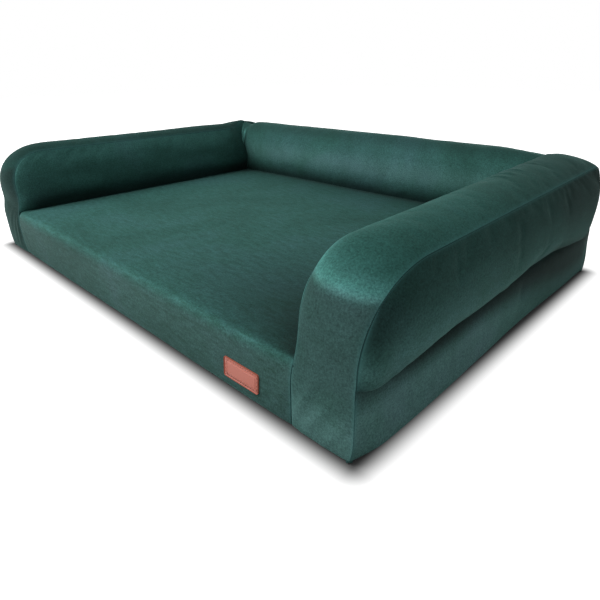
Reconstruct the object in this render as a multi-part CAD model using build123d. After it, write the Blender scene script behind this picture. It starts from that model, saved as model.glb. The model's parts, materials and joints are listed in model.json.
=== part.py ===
"""Three-sided dog bed: a foam mattress with a bolster on each short side and along the back.

Millimetres, +Z up, X across the bed, Y from the open front to the back, origin under the middle.
The velvet cover is one sewn bag over all the foam; its panels are modelled seam to seam.
"""

import os
from math import atan2, cos, hypot, pi, sin

from build123d import *

# Whole bed
bed_width = 1000.0
bed_depth = 700.0
base_height = 90.0
velvet = 3.0
underside = 2.0
liner_wall = 1.0
soft_clearance = 0.3
front_edge_radius = 14.0

# Side arms
arm_width = 87.0
arm_front_height = 205.0
arm_rear_height = 216.0
right_arm_front_radius = 92.0
left_arm_front_radius = 68.0
arm_rear_radius = 26.0
arm_outer_crown = 14.0
arm_inner_crown = 11.0

# Back bolster
back_width = 62.0
back_rise = 2.0
back_end_drop = 9.0
back_end_run = 70.0
back_front_crown = 14.0
back_rear_crown = 9.0
back_front_radius = 27.0
back_rear_radius = 17.0
back_seam_inset = 20.0

# A crowned panel rises from its seam like a quarter ellipse, in this many steps
crown_steps = 4
crown_rise_share = 0.38
round_share = 0.92

# Foam
memory_foam_height = 30.0

# Label on the front
label_width = 62.0
label_height = 26.0
label_thickness = 1.6
label_radius = 2.5
label_from_arm = 49.0
label_above_floor = 22.0
stitch_length = 2.6
stitch_gap = 1.7
stitch_width = 0.6
stitch_rise = 0.35
stitch_inset = 2.6

# Zip in the rear band
zip_height = 62.0
zip_tab = 23.0
zip_slot = 22.0
tape_thickness = 0.6
tape_depth = 0.6
tooth_row_width = 2.4
tooth_thickness = 1.4
row_gap = 1.4
tooth_pitch = 4.0
tooth_length = 2.4
tooth_groove = 0.4
stop_length = 5.0
stop_thickness = 2.0

# Slider and pull
slider_length = 11.0
slider_clearance = 0.3
slider_plate = 1.0
slider_lip = 0.9
slider_web = 0.6
slider_corner = 2.0
slider_park = 3.0
bail_length = 7.0
bail_width = 2.6
bail_wall = 1.0
bail_room = 0.35
pull_pin_radius = 0.7
pull_width = 6.6
pull_length = 26.0
pull_arm = 1.2
pull_thickness = 1.3
pull_corner = 2.4
pull_hole_radius = 1.1
pull_neck = 6.0

# One overrun serves every cut
overrun = 5.0

# Places that follow from the sizes
front_y = label_thickness / 2 - (bed_depth + back_rear_crown) / 2
rear_y = front_y + bed_depth
seam_x = bed_width / 2 - arm_width
side_x = bed_width / 2
back_y = rear_y - back_width
back_height = arm_rear_height + back_rise
liner_top = base_height - velvet
arm_rise = arm_front_height - base_height
zip_x = seam_x - zip_tab


def arm_top(y):
    """Height of the arm's top seam, which climbs towards the back."""
    climb = (arm_rear_height - arm_front_height) / bed_depth
    return arm_front_height + climb * (y - front_y)


def save(shape, node):
    """Write one node's file."""
    export_step(shape, f"parts/{node}.step")


def block(x0, x1, y0, y1, z0, z1):
    """A plain box between two corners."""
    return Pos((x0 + x1) / 2, (y0 + y1) / 2, (z0 + z1) / 2) * Box(x1 - x0, y1 - y0, z1 - z0)


def rounded(corners, x):
    """A closed outline at one x: straight runs joined by tangent arcs.

    Each corner is (y, z, radius), in order round the outline; a radius of zero leaves it sharp.
    """
    edges = []
    joints = []
    count = len(corners)
    for i, (y, z, radius) in enumerate(corners):
        before = corners[i - 1]
        after = corners[(i + 1) % count]
        if radius == 0:
            joints.append(((y, z), None, (y, z)))
            continue
        to_before = atan2(before[1] - z, before[0] - y)
        to_after = atan2(after[1] - z, after[0] - y)
        turn = abs((to_before - to_after + pi) % (2 * pi) - pi)
        run = radius / (sin(turn / 2) / cos(turn / 2))
        reach = radius / sin(turn / 2)
        into_y = cos(to_before) + cos(to_after)
        into_z = sin(to_before) + sin(to_after)
        size = hypot(into_y, into_z)
        middle = (y + into_y / size * (reach - radius), z + into_z / size * (reach - radius))
        start = (y + cos(to_before) * run, z + sin(to_before) * run)
        end = (y + cos(to_after) * run, z + sin(to_after) * run)
        joints.append((start, middle, end))
    for i, (start, middle, end) in enumerate(joints):
        if middle:
            edges.append(ThreePointArc((x, *start), (x, *middle), (x, *end)))
        edges.append(Line((x, *end), (x, *joints[(i + 1) % count][0])))
    return Wire(edges)


def arm_outline(x, inset, bottom, front_radius, back_end, back_radius):
    """The arm seen from the side, drawn in by inset all round except at its bottom."""
    y0 = front_y + inset
    y1 = back_end - inset
    left_over = 1 - 2 * inset / arm_rise
    front_round = min(front_radius, arm_rise * round_share) * left_over
    corners = [
        (y0, bottom, 0),
        (y0, arm_top(y0) - inset, front_round),
        (y1, arm_top(y1) - inset, back_radius * left_over),
        (y1, bottom, 0),
    ]
    return rounded(corners, x)


def arm_core(x0, x1, inset, bottom, front_radius):
    """The arm between its two seams, straight across."""
    face = Face(arm_outline(x0, inset, bottom, front_radius, rear_y, arm_rear_radius))
    return extrude(face, amount=x1 - x0, dir=(1, 0, 0))


def arm_crown(seam, sign, crown, inset, front_radius, back_end, back_radius):
    """The crowned face that swells from one seam, drawn in all round as it rises."""
    wires = []
    for step in range(crown_steps + 1):
        angle = pi / 2 * step / crown_steps
        x = seam + sign * (sin(angle) * crown - inset)
        edge = inset + (1 - cos(angle)) * crown_rise_share * arm_rise
        wires.append(
            arm_outline(x, edge, base_height + edge, front_radius, back_end, back_radius)
        )
    return Solid.make_loft(wires, ruled=True)


def outer_crown(inset, front_radius):
    """The arm's outer side, which bulges over the base."""
    return arm_crown(side_x, 1, arm_outer_crown, inset, front_radius, rear_y, arm_rear_radius)


def inner_crown(inset, front_radius):
    """The arm's side towards the seat, which ends where the back bolster begins."""
    end = back_y - back_front_crown
    return arm_crown(seam_x, -1, arm_inner_crown, inset, front_radius, end, arm_rear_radius)


def back_outline(x, inset, bottom, crown_share, drop):
    """The back bolster's section: a bowed front, a round top and a bowed rear."""
    y0 = back_y + inset
    y1 = rear_y - inset
    top = back_height - drop - inset
    front_bow = back_front_crown * crown_share
    rear_bow = back_rear_crown * crown_share
    front_shoulder = top - back_front_radius
    rear_shoulder = top - back_rear_radius
    front_middle = (base_height + front_shoulder) / 2
    rear_middle = (base_height + rear_shoulder) / 2
    crest = (y0 + back_front_radius, y1 - back_rear_radius)
    bend = 1 - cos(pi / 4)
    edges = [
        Line((x, y0, bottom), (x, y0, base_height + velvet)),
        ThreePointArc(
            (x, y0, base_height + velvet), (x, y0 - front_bow, front_middle), (x, y0, front_shoulder)
        ),
        ThreePointArc(
            (x, y0, front_shoulder),
            (x, y0 + back_front_radius * bend, top - back_front_radius * bend),
            (x, crest[0], top),
        ),
        Line((x, crest[0], top), (x, crest[1], top)),
        ThreePointArc(
            (x, crest[1], top),
            (x, y1 - back_rear_radius * bend, top - back_rear_radius * bend),
            (x, y1, rear_shoulder),
        ),
        ThreePointArc(
            (x, y1, rear_shoulder), (x, y1 + rear_bow, rear_middle), (x, y1, base_height + velvet)
        ),
        Line((x, y1, base_height + velvet), (x, y1, bottom)),
        Line((x, y1, bottom), (x, y0, bottom)),
    ]
    return Wire(edges)


def back_form(inset, bottom, reach):
    """The back bolster, lower and flatter at both ends where it meets the arms."""
    end_share = 0.35
    stations = [
        (-reach, end_share, back_end_drop),
        (back_end_run - seam_x, 1, 0),
        (seam_x - back_end_run, 1, 0),
        (reach, end_share, back_end_drop),
    ]
    wires = [back_outline(x, inset, bottom, share, drop) for x, share, drop in stations]
    return Solid.make_loft(wires, ruled=True)


def mirrored(shape):
    """The same piece on the other side of the bed."""
    return shape.mirror(Plane.YZ)


def top_front_edge(slab):
    """The edge that a velvet panel rolls over, along the front of a block's top."""
    return slab.edges().filter_by(Axis.X).sort_by(Axis.Z)[-2:].sort_by(Axis.Y)[0]


def base_fill():
    """Liner and the two foam layers in it."""
    x = side_x - velvet
    y0 = front_y + velvet
    y1 = rear_y - velvet
    roll = front_edge_radius - velvet
    liner = block(-x, x, y0, y1, underside, liner_top)
    liner = fillet(top_front_edge(liner), roll)
    inner_x = x - liner_wall
    room = (-inner_x, inner_x, y0 + liner_wall, y1 - liner_wall)
    middle = liner_top - liner_wall - memory_foam_height
    hollow = block(*room, underside + liner_wall, liner_top - liner_wall)
    hollow = fillet(top_front_edge(hollow), roll - liner_wall)
    save(liner - hollow, "mattress_liner")
    save(block(*room, underside + liner_wall, middle), "base_foam_core")
    memory = block(*room, middle, liner_top - liner_wall)
    save(fillet(top_front_edge(memory), roll - liner_wall), "memory_foam_top")


def seat():
    """Seat top and front face in one panel, with a soft rolled edge."""
    whole = block(-seam_x, seam_x, front_y, back_y + velvet, underside, base_height)
    under = block(-side_x, side_x, front_y + velvet, rear_y, -overrun, liner_top)
    whole = fillet(top_front_edge(whole), front_edge_radius)
    under = fillet(top_front_edge(under), front_edge_radius - velvet)
    save(whole - under, "seat_and_front_panel")


def bands():
    """Side bands, the split rear band with its end tabs, and the underside."""
    band = block(
        side_x - velvet, side_x, front_y + velvet, rear_y - velvet, underside, base_height + velvet
    )
    save(band, "right_base_band")
    save(mirrored(band), "left_base_band")
    rear = (-seam_x, seam_x, rear_y - velvet, rear_y)
    slot_low = zip_height - zip_slot / 2
    slot_high = zip_height + zip_slot / 2
    save(block(*rear, underside, slot_low), "rear_band_lower")
    save(block(*rear, slot_high, base_height), "rear_band_upper")
    tab = block(zip_x, seam_x, rear_y - velvet, rear_y, slot_low, slot_high)
    save(Compound([tab, mirrored(tab)]), "zip_end_tabs")
    save(block(-side_x, side_x, front_y, rear_y, 0, underside), "bottom_panel")


def arm(side, front_radius):
    """One arm's gusset, inner and outer panels and foam, built on the right and mirrored if left."""
    strip = arm_core(seam_x, side_x, 0, underside, front_radius)
    room = arm_core(seam_x - overrun, side_x + overrun, velvet, -overrun, front_radius)
    fill = velvet + soft_clearance
    foam = arm_core(seam_x + fill, side_x - fill, fill, liner_top, front_radius)
    foam = foam + outer_crown(fill, front_radius) + inner_crown(fill, front_radius)
    pieces = {
        "gusset": strip - room,
        "outer_panel": outer_crown(0, front_radius) - outer_crown(velvet, front_radius),
        "inner_panel": inner_crown(0, front_radius) - inner_crown(velvet, front_radius),
        "foam": foam,
    }
    for name, piece in pieces.items():
        save(piece if side == "right" else mirrored(piece), f"{side}_arm_{name}")


def back():
    """Back bolster: the front panel that rolls over the top, the rear panel and the foam."""
    shell = back_form(0, base_height, seam_x) - back_form(velvet, -overrun, seam_x + overrun)
    seam_y = rear_y - back_seam_inset
    tall = back_height + overrun
    far = bed_width
    save(shell & block(-far, far, 0, seam_y, 0, tall), "back_bolster_front_panel")
    save(shell & block(-far, far, seam_y, far, 0, tall), "back_bolster_rear_panel")
    foam = back_form(velvet + soft_clearance, liner_top, seam_x - soft_clearance)
    save(foam, "back_bolster_foam")


def label():
    """Plain leather tag on the front and the stitches round its border."""
    x1 = seam_x - label_from_arm
    x0 = x1 - label_width
    z0 = label_above_floor
    z1 = z0 + label_height
    tag = block(x0, x1, front_y - label_thickness, front_y, z0, z1)
    save(fillet(tag.edges().filter_by(Axis.Y), label_radius), "label")
    face_y = front_y - label_thickness
    pitch = stitch_length + stitch_gap
    left = x0 + stitch_inset
    low = z0 + stitch_inset
    across = label_width - 2 * stitch_inset
    up = label_height - 2 * stitch_inset
    stitches = []
    for i in range(int(across / pitch)):
        start = left + (across - int(across / pitch) * pitch + stitch_gap) / 2 + i * pitch
        for z in (low, low + up):
            stitches.append(
                block(
                    start, start + stitch_length, face_y - stitch_rise, face_y,
                    z - stitch_width / 2, z + stitch_width / 2,
                )
            )
    for i in range(int(up / pitch)):
        start = low + (up - int(up / pitch) * pitch + stitch_gap) / 2 + i * pitch
        for x in (left, left + across):
            stitches.append(
                block(
                    x - stitch_width / 2, x + stitch_width / 2, face_y - stitch_rise, face_y,
                    start, start + stitch_length,
                )
            )
    save(Compound(stitches), "label_stitching")


tape_y = rear_y - tape_depth
teeth_y = tape_y + tooth_thickness
plate_y = teeth_y + slider_clearance
pin_y = plate_y + slider_plate + bail_room + pull_pin_radius
bail_y = pin_y + pull_pin_radius + bail_room + bail_wall
row_edge = row_gap / 2 + tooth_row_width


def zip_fastener():
    """Tapes, tooth rows and end stops, closed along their whole length."""
    tape = block(
        -zip_x, zip_x, tape_y - tape_thickness, tape_y,
        zip_height + row_gap / 2, zip_height + zip_slot / 2,
    )
    save(tape, "zip_tape_upper")
    flip = Plane.XY.offset(zip_height)
    save(tape.mirror(flip), "zip_tape_lower")
    ends = zip_x - stop_length
    row = block(
        -ends, ends, tape_y, teeth_y, zip_height + row_gap / 2, zip_height + row_edge
    )
    count = int(2 * ends / tooth_pitch)
    grooves = []
    for i in range(1, count):
        x = -ends + i * 2 * ends / count
        half = (tooth_pitch - tooth_length) / 2
        grooves.append(
            block(
                x - half, x + half, teeth_y - tooth_groove, teeth_y + overrun,
                zip_height, zip_height + row_edge + overrun,
            )
        )
    row = row - grooves
    save(row, "zip_teeth_upper")
    save(row.mirror(flip), "zip_teeth_lower")
    stop = block(
        ends, zip_x, tape_y, tape_y + stop_thickness, zip_height - row_edge, zip_height + row_edge
    )
    save(Compound([stop, mirrored(stop)]), "zip_stops")


def zip_slider():
    """Slider: two plates joined by a web between the rows, lips round the rows, and a bail."""
    right = zip_x - stop_length - slider_park
    left = right - slider_length
    middle = (left + right) / 2
    half = row_edge + slider_clearance + slider_lip
    front = block(left, right, plate_y, plate_y + slider_plate, zip_height - half, zip_height + half)
    back_y1 = tape_y - tape_thickness - slider_clearance
    rear = block(left, right, back_y1 - slider_plate, back_y1, zip_height - half, zip_height + half)
    front = fillet(front.edges().filter_by(Axis.Y), slider_corner)
    rear = fillet(rear.edges().filter_by(Axis.Y), slider_corner)
    lip = block(
        left + slider_corner, right - slider_corner, tape_y + slider_clearance, plate_y,
        zip_height + half - slider_lip, zip_height + half,
    )
    web = block(
        middle, right - slider_corner, back_y1, plate_y,
        zip_height - slider_web / 2, zip_height + slider_web / 2,
    )
    bail_box = block(
        middle - bail_length / 2, middle + bail_length / 2, plate_y + slider_plate, bail_y,
        zip_height - bail_width / 2, zip_height + bail_width / 2,
    )
    room = pull_pin_radius + bail_room
    tunnel = block(
        middle - bail_length / 2 + bail_wall, middle + bail_length / 2 - bail_wall,
        pin_y - room, pin_y + room, zip_height - overrun, zip_height + overrun,
    )
    lips = [lip, lip.mirror(Plane.XY.offset(zip_height))]
    body = front + rear + lips + web + (bail_box - tunnel)
    save(body, "zip_slider")
    return middle


def zip_pull(pin_x):
    """Pull tab lying flat along the closed zip, turning on its pin under the slider's bail."""
    tip = pin_x - pull_length
    neck = pin_x - pull_neck
    y0 = pin_y - pull_thickness / 2
    y1 = pin_y + pull_thickness / 2
    low = zip_height - pull_width / 2
    high = zip_height + pull_width / 2
    plate = block(tip, neck, y0, y1, low, high)
    plate = fillet(plate.edges().filter_by(Axis.Y).sort_by(Axis.X)[:2], pull_corner)
    hole = Pos(tip + pull_corner * 2, pin_y, zip_height) * Rot(90, 0, 0) * Cylinder(
        pull_hole_radius, pull_thickness + overrun
    )
    arm_block = block(neck, pin_x, y0, y1, low, low + pull_arm)
    arms = [arm_block, arm_block.mirror(Plane.XY.offset(zip_height))]
    pin = Pos(pin_x, pin_y, zip_height) * Cylinder(pull_pin_radius, pull_width)
    save((plate - hole) + arms + pin, "zip_pull")


def main():
    """Write every node."""
    os.makedirs("parts", exist_ok=True)
    base_fill()
    seat()
    bands()
    arm("right", right_arm_front_radius)
    arm("left", left_arm_front_radius)
    back()
    label()
    zip_fastener()
    zip_pull(zip_slider())


main()
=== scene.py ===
"""Looks for the three-sided dog bed: velvet panels over foam, leather tag, zip and a plain studio."""

import json
import math

import bpy
import numpy as np
from mathutils import Matrix, Vector, noise

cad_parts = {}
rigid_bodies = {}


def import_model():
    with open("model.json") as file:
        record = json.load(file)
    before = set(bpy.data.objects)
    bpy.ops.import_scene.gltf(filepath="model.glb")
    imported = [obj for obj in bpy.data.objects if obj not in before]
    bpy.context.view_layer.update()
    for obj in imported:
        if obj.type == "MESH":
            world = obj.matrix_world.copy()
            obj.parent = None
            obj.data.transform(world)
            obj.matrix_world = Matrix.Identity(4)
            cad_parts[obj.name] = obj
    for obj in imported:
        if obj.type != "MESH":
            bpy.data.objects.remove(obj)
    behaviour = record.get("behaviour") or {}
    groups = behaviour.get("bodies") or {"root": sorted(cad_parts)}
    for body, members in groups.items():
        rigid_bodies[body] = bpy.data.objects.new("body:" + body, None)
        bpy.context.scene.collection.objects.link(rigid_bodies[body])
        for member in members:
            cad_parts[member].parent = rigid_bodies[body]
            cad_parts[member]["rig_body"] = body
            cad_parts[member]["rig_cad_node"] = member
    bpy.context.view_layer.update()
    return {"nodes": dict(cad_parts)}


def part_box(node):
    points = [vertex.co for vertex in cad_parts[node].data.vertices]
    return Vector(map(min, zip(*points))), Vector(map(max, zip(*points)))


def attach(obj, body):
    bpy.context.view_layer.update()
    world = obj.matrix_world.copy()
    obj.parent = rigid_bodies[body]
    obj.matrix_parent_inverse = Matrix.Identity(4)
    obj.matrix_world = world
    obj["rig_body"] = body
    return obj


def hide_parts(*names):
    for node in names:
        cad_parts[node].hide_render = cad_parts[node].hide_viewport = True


bl_info = {
    "name": "Velvet Dog Bed",
    "version": (1, 0, 0),
    "blender": (4, 5, 0),
    "location": "3D View > Sidebar > Dog Bed",
    "description": "Builds a three-sided velvet dog bed around its packed frame",
    "category": "Object",
}

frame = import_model()

# Places taken from the frame
SEAT_LOW, SEAT_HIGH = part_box("seat_and_front_panel")
BACK_LOW, BACK_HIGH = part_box("back_bolster_front_panel")
UNDER_LOW, UNDER_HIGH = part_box("bottom_panel")
SEAM_X = SEAT_HIGH.x
SIDE_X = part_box("right_base_band")[1].x
FRONT_Y = SEAT_LOW.y
REAR_Y = UNDER_HIGH.y
BASE_TOP = SEAT_HIGH.z

MM = 0.001
FLOOR_GAP = 0.4 * MM

# Stiffness, weight and damping of the velvet while a panel settles
CLOTH = {
    "quality": 6, "mass": 0.25, "tension_stiffness": 12, "compression_stiffness": 12, "shear_stiffness": 6,
    "bending_stiffness": 0.4, "air_damping": 2, "use_pressure": True,
}


def length(name, description, default):
    """A size that is given in millimetres."""
    return bpy.props.FloatProperty(name=name, description=description, default=default * MM, unit="LENGTH")


def lengths(name, description, *defaults):
    """A row of sizes that are given in millimetres."""
    return bpy.props.FloatVectorProperty(
        name=name, description=description, size=len(defaults), unit="LENGTH",
        default=[default * MM for default in defaults],
    )


def angle(name, description, default):
    """An angle in radians."""
    return bpy.props.FloatProperty(
        name=name, description=description, default=default, subtype="ANGLE", unit="ROTATION"
    )


def number(name, description, default, **more):
    """A number without a unit."""
    return bpy.props.FloatProperty(name=name, description=description, default=default, **more)


def colour(name, description, *default, **more):
    """A colour."""
    return bpy.props.FloatVectorProperty(
        name=name, description=description, default=default, subtype="COLOR", **more
    )


class BedForm(bpy.types.PropertyGroup):
    """Sizes of the soft forms."""

    cell: length("Cell", "Size of a panel's grid cells", 6)
    cloth: length("Cloth", "Thickness of velvet and backing", 2.6)
    seam_gap: length("Seam gap", "Half the gap at a seam", 0.2)
    seam_roll: length("Seam roll", "Radius of a panel's turned edge", 0.9)
    foot_radius: length("Foot", "Radius of the cover's bottom edge", 4)
    edge_radius: length("Front edge", "Radius of the seat's front edge", 10)
    seam_front: lengths(
        "Seam front", "Seams' height at the front: left inner and outer, right inner and outer",
        208, 200, 201, 192.5,
    )
    seam_rear: lengths(
        "Seam rear", "Seams' height at the rear: left inner and outer, right inner and outer",
        206, 198, 219, 206,
    )
    arm_fall: lengths("Arm fall", "How far the left and right arm's rear end drops", 3, 8.5)
    left_round: lengths(
        "Left round", "Left arm's front corner: inner run and drop, outer run and drop", 80, 68, 95, 75
    )
    right_round: lengths(
        "Right round", "Right arm's front corner: inner run and drop, outer run and drop", 91, 98, 120, 95
    )
    front_lean: lengths(
        "Front lean", "How far an arm's inner and outer front seams lean back above the base", 11, 4.5
    )
    corner_fullness: number("Corner fullness", "2 is an ellipse and more is squarer", 2.05)
    arm_rear_round: length("Rear round", "Rear top corner of an arm", 16)
    outer_crown: length("Outer crown", "Bulge of an arm's outer side", 22)
    inner_crown: length("Inner crown", "Bulge of an arm's inner side", 13)
    top_crown: length("Top crown", "Bulge of an arm's top strip", 15)
    crease: length("Crease", "Depth of the crease under an arm", 10)
    droop: length("Droop", "How far an arm's outer side hangs over its crease", 9)
    back_crown: length("Back crown", "Bulge of the back bolster's front", 13)
    push: number("Push", "Pressure of the filling on a panel", 0.8)
    slack: number("Slack", "Spare cloth in a panel", 0.004, subtype="FACTOR")
    settle_frames: bpy.props.IntProperty(
        name="Settle", description="Steps in which a panel finds its shape", default=14
    )
    most_move: length("Most move", "Furthest a point moves while it settles", 3)


class BedFinish(bpy.types.PropertyGroup):
    """Colours of the bed."""

    velvet_deep: colour("Velvet deep", "Pile brushed away", 0.017, 0.070, 0.058)
    velvet_mid: colour("Velvet", "Pile as it lies", 0.026, 0.098, 0.084)
    velvet_cool: colour("Velvet cool", "Pile brushed up", 0.036, 0.112, 0.110)
    # Painted sheen: the greying that the sheen gives some panels, partly the pile's own direction.
    velvet_dust: colour("Velvet dust", "What greyer pile is multiplied by", 1.45, 0.92, 0.96, soft_max=2.0)
    velvet_sheen: colour("Sheen", "Tint of the sheen", 0.32, 0.72, 0.64)
    underside: colour("Underside", "Non-slip cloth", 0.02, 0.022, 0.022)
    leather: colour("Leather", "Tag", 0.50, 0.135, 0.085)
    thread: colour("Thread", "Tag's stitches", 0.10, 0.028, 0.022)
    foam: colour("Foam", "Bolster and base foam", 0.72, 0.70, 0.62)
    memory: colour("Memory foam", "Soft top layer", 0.78, 0.72, 0.46)
    lining: colour("Lining", "Inner cover", 0.70, 0.70, 0.68)
    zip_paint: colour("Zip", "Tape, teeth and slider", 0.012, 0.050, 0.044)


class BedStage(bpy.types.PropertyGroup):
    """Camera and lights."""

    eye: bpy.props.FloatVectorProperty(
        name="Eye", description="Camera's place", subtype="TRANSLATION", unit="LENGTH",
        default=(0.7190, -0.6473, 0.3639),
    )
    turn: angle("Turn", "Camera's heading from +Y", -0.7842)
    tilt: angle("Tilt", "Camera's tilt down", 0.4439)
    roll: angle("Roll", "Camera's roll", -0.0141)
    lens: number("Lens", "Focal length in mm", 29.106)
    shift: bpy.props.FloatVectorProperty(
        name="Shift", description="Shift of the picture", size=2, default=(0.0033, -0.0067)
    )
    key_power: number("Key", "Main light in watts", 60.0)
    fill_power: number("Fill", "Fill light in watts", 5.0)
    sky: number("Sky", "Strength of the surroundings", 0.42)


def form():
    """The soft forms' sizes."""
    return bpy.context.scene.bed_form


def palette():
    """The finishes' colours."""
    return bpy.context.scene.bed_finish


def clear_selection():
    """Leave edit mode and select nothing."""
    if bpy.context.mode != "OBJECT":
        bpy.ops.object.mode_set(mode="OBJECT")
    bpy.ops.object.select_all(action="DESELECT")


def only(obj):
    """Select one object and make it active."""
    clear_selection()
    obj.select_set(True)
    bpy.context.view_layer.objects.active = obj
    return obj


def points_of(obj):
    """The mesh's points as rows of x, y, z."""
    flat = np.empty(len(obj.data.vertices) * 3)
    obj.data.vertices.foreach_get("co", flat)
    return flat.reshape(-1, 3)


def set_points(obj, points):
    """Move the mesh's points."""
    obj.data.vertices.foreach_set("co", np.ascontiguousarray(points, float).ravel())
    obj.data.update()


def normals_of(obj):
    """The mesh's point normals as rows."""
    flat = np.empty(len(obj.data.vertices) * 3)
    obj.data.vertex_normals.foreach_get("vector", flat)
    return flat.reshape(-1, 3)


def use(obj, kind, **settings):
    """Add a modifier and apply it."""
    only(obj)
    modifier = obj.modifiers.new(kind.title(), kind)
    for key, value in settings.items():
        setattr(modifier, key, value)
    bpy.ops.object.modifier_apply(modifier=modifier.name)


def waves(points, size, seed):
    """Smooth noise from -1 to 1 at every point, with features of about that size."""
    return np.array([noise.noise(Vector(p) / size + Vector((seed, 0, 0))) for p in points])


def crowd(share, amount):
    """Draw a row of shares from 0 to 1 towards both ends."""
    return (1 - amount) * share + amount * (1 - np.cos(math.pi * share)) / 2


def hump(share, power):
    """0 at both ends of 0 to 1 and 1 between them; a higher power is flatter in the middle."""
    return 1 - np.abs(2 * share - 1) ** power


def step(value, low, high):
    """0 below low and 1 above high, with a smooth climb between them."""
    share = np.clip((value - low) / (high - low), 0, 1)
    return share * share * (3 - 2 * share)


def bell(value, centre, width, power=2):
    """1 at the centre and a smooth fall to 0 on both sides of it."""
    return np.exp(-(((value - centre) / width) ** power))


def fade(distance, reach):
    """1 at a distance of 0 and less beyond it, a third at its reach."""
    return np.exp(-np.clip(distance, 0, 1) / reach)


def swell(share, widest, fullness):
    """0 at both ends and 1 at the widest share: a quarter round up to it and a slow fall after it."""
    below = np.clip(1 - share / widest, 0, 1)
    above = np.clip((share - widest) / (1 - widest), 0, 1)
    return np.where(share < widest, np.sqrt(1 - below**2), 1 - above**fullness)


def hang(share, reach):
    """A smooth rise and fall between 0 and reach, highest at a third of it."""
    share = np.clip(share / reach, 0, 1)
    return 6.75 * share * (1 - share) ** 2


def rounded_line(corners, radii):
    """A dense line of (y, z) through corners, each rounded by its radius."""
    line = [np.array(corners[0])]
    for before, here, after, radius in zip(corners, corners[1:], corners[2:], radii):
        before, here, after = np.array(before), np.array(here), np.array(after)
        back = (before - here) / np.linalg.norm(before - here)
        ahead = (after - here) / np.linalg.norm(after - here)
        half = math.acos(float(back @ ahead)) / 2
        middle = (back + ahead) / np.linalg.norm(back + ahead)
        centre = here + middle * radius / math.sin(half)
        start = here + back * radius / math.tan(half) - centre
        end = here + ahead * radius / math.tan(half) - centre
        for share in np.linspace(0, 1, 25):
            arm = start * (1 - share) + end * share
            line.append(centre + arm / np.linalg.norm(arm) * radius)
    line.append(np.array(corners[-1]))
    return np.array(line)


class Route:
    """A line of (y, z) walked by its length."""

    def __init__(self, line):
        self.line = line
        steps = np.linalg.norm(np.diff(line, axis=0), axis=1)
        self.walked = np.concatenate([[0], np.cumsum(steps)])
        self.length = self.walked[-1]

    def at(self, share):
        """(y, z) at each share of the length."""
        walked = np.asarray(share) * self.length
        return np.stack([np.interp(walked, self.walked, self.line[:, k]) for k in (0, 1)], -1)

    def side(self, share):
        """The direction to the left of travel at each share."""
        reach = 4 * MM / self.length
        share = np.asarray(share)
        run = self.at(np.minimum(share + reach, 1)) - self.at(np.maximum(share - reach, 0))
        run = run / np.maximum(np.linalg.norm(run, axis=-1, keepdims=True), 1e-9)
        return np.stack([-run[..., 1], run[..., 0]], -1)

    def share_near(self, y, z):
        """The share of the length nearest to a point."""
        return self.walked[np.argmin(np.hypot(self.line[:, 0] - y, self.line[:, 1] - z))] / self.length


def grid(name, columns, rows, place):
    """A grid whose point at (across, up), both from 0 to 1, goes to place(across, up)."""
    clear_selection()
    bpy.ops.mesh.primitive_grid_add(x_subdivisions=columns, y_subdivisions=rows, size=1)
    obj = bpy.context.object
    obj.name = name
    flat = points_of(obj)[:, :2] + 0.5
    points = place(flat[:, 0], flat[:, 1])
    set_points(obj, points)
    return obj, flat


def keep_shares(obj, flat):
    """Keep where on its panel each point lies, for its folds and for the light and shade painted onto it."""
    for name, column in (("across", 0), ("up", 1)):
        layer = obj.data.attributes.new(name, "FLOAT", "POINT")
        layer.data.foreach_set("value", flat[:, column].astype(np.float32))


def face_outward(obj, away):
    """Turn the faces so that they look along away, a vector or a function of the points."""
    points = points_of(obj)
    wanted = away(points) if callable(away) else np.tile(np.array(away, float), (len(points), 1))
    if (normals_of(obj) * wanted).sum() < 0:
        only(obj)
        bpy.ops.object.mode_set(mode="EDIT")
        bpy.ops.mesh.select_all(action="SELECT")
        bpy.ops.mesh.flip_normals()
        bpy.ops.object.mode_set(mode="OBJECT")


def settle(obj, flat, slack=None, push=None, most=None):
    """Let a panel find its own shape: sewn down at its edges, pushed out by its filling."""
    sizes = form()
    rest = points_of(obj)
    held = obj.vertex_groups.new(name="sewn")
    sewn = np.flatnonzero((flat.min(1) < 1e-6) | (flat.max(1) > 1 - 1e-6))
    held.add(sewn.tolist(), 1.0, "REPLACE")
    only(obj)
    cloth = obj.modifiers.new("Settle", "CLOTH")
    facts = cloth.settings
    for key, value in CLOTH.items():
        setattr(facts, key, value)
    facts.vertex_group_mass = "sewn"
    facts.shrink_min = -(sizes.slack if slack is None else slack)
    facts.uniform_pressure_force = sizes.push if push is None else push
    facts.effector_weights.gravity = 0
    cloth.point_cache.frame_start = 1
    cloth.point_cache.frame_end = sizes.settle_frames
    for moment in range(1, sizes.settle_frames + 1):
        bpy.context.scene.frame_set(moment)
    bpy.ops.object.modifier_apply(modifier=cloth.name)
    bpy.context.scene.frame_set(1)
    limit = sizes.most_move if most is None else most
    move = points_of(obj) - rest
    far = np.linalg.norm(move, axis=1, keepdims=True)
    move = move * (limit * np.tanh(far / limit) / np.maximum(far, 1e-9))
    set_points(obj, rest + move)
    obj.vertex_groups.clear()


def refine(obj):
    """Halve the size of a panel's cells."""
    use(
        obj, "SUBSURF", levels=1, render_levels=1, boundary_smooth="PRESERVE_CORNERS",
        uv_smooth="PRESERVE_BOUNDARIES",
    )


def hem(obj):
    """Give a panel its cloth's thickness and turn its edges."""
    sizes = form()
    use(obj, "SOLIDIFY", thickness=sizes.cloth, offset=-1, use_even_offset=False)
    use(
        obj, "BEVEL", width=sizes.seam_roll, segments=3, limit_method="ANGLE",
        angle_limit=math.radians(50), use_clamp_overlap=True,
    )
    only(obj)
    bpy.ops.object.shade_smooth()


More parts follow.
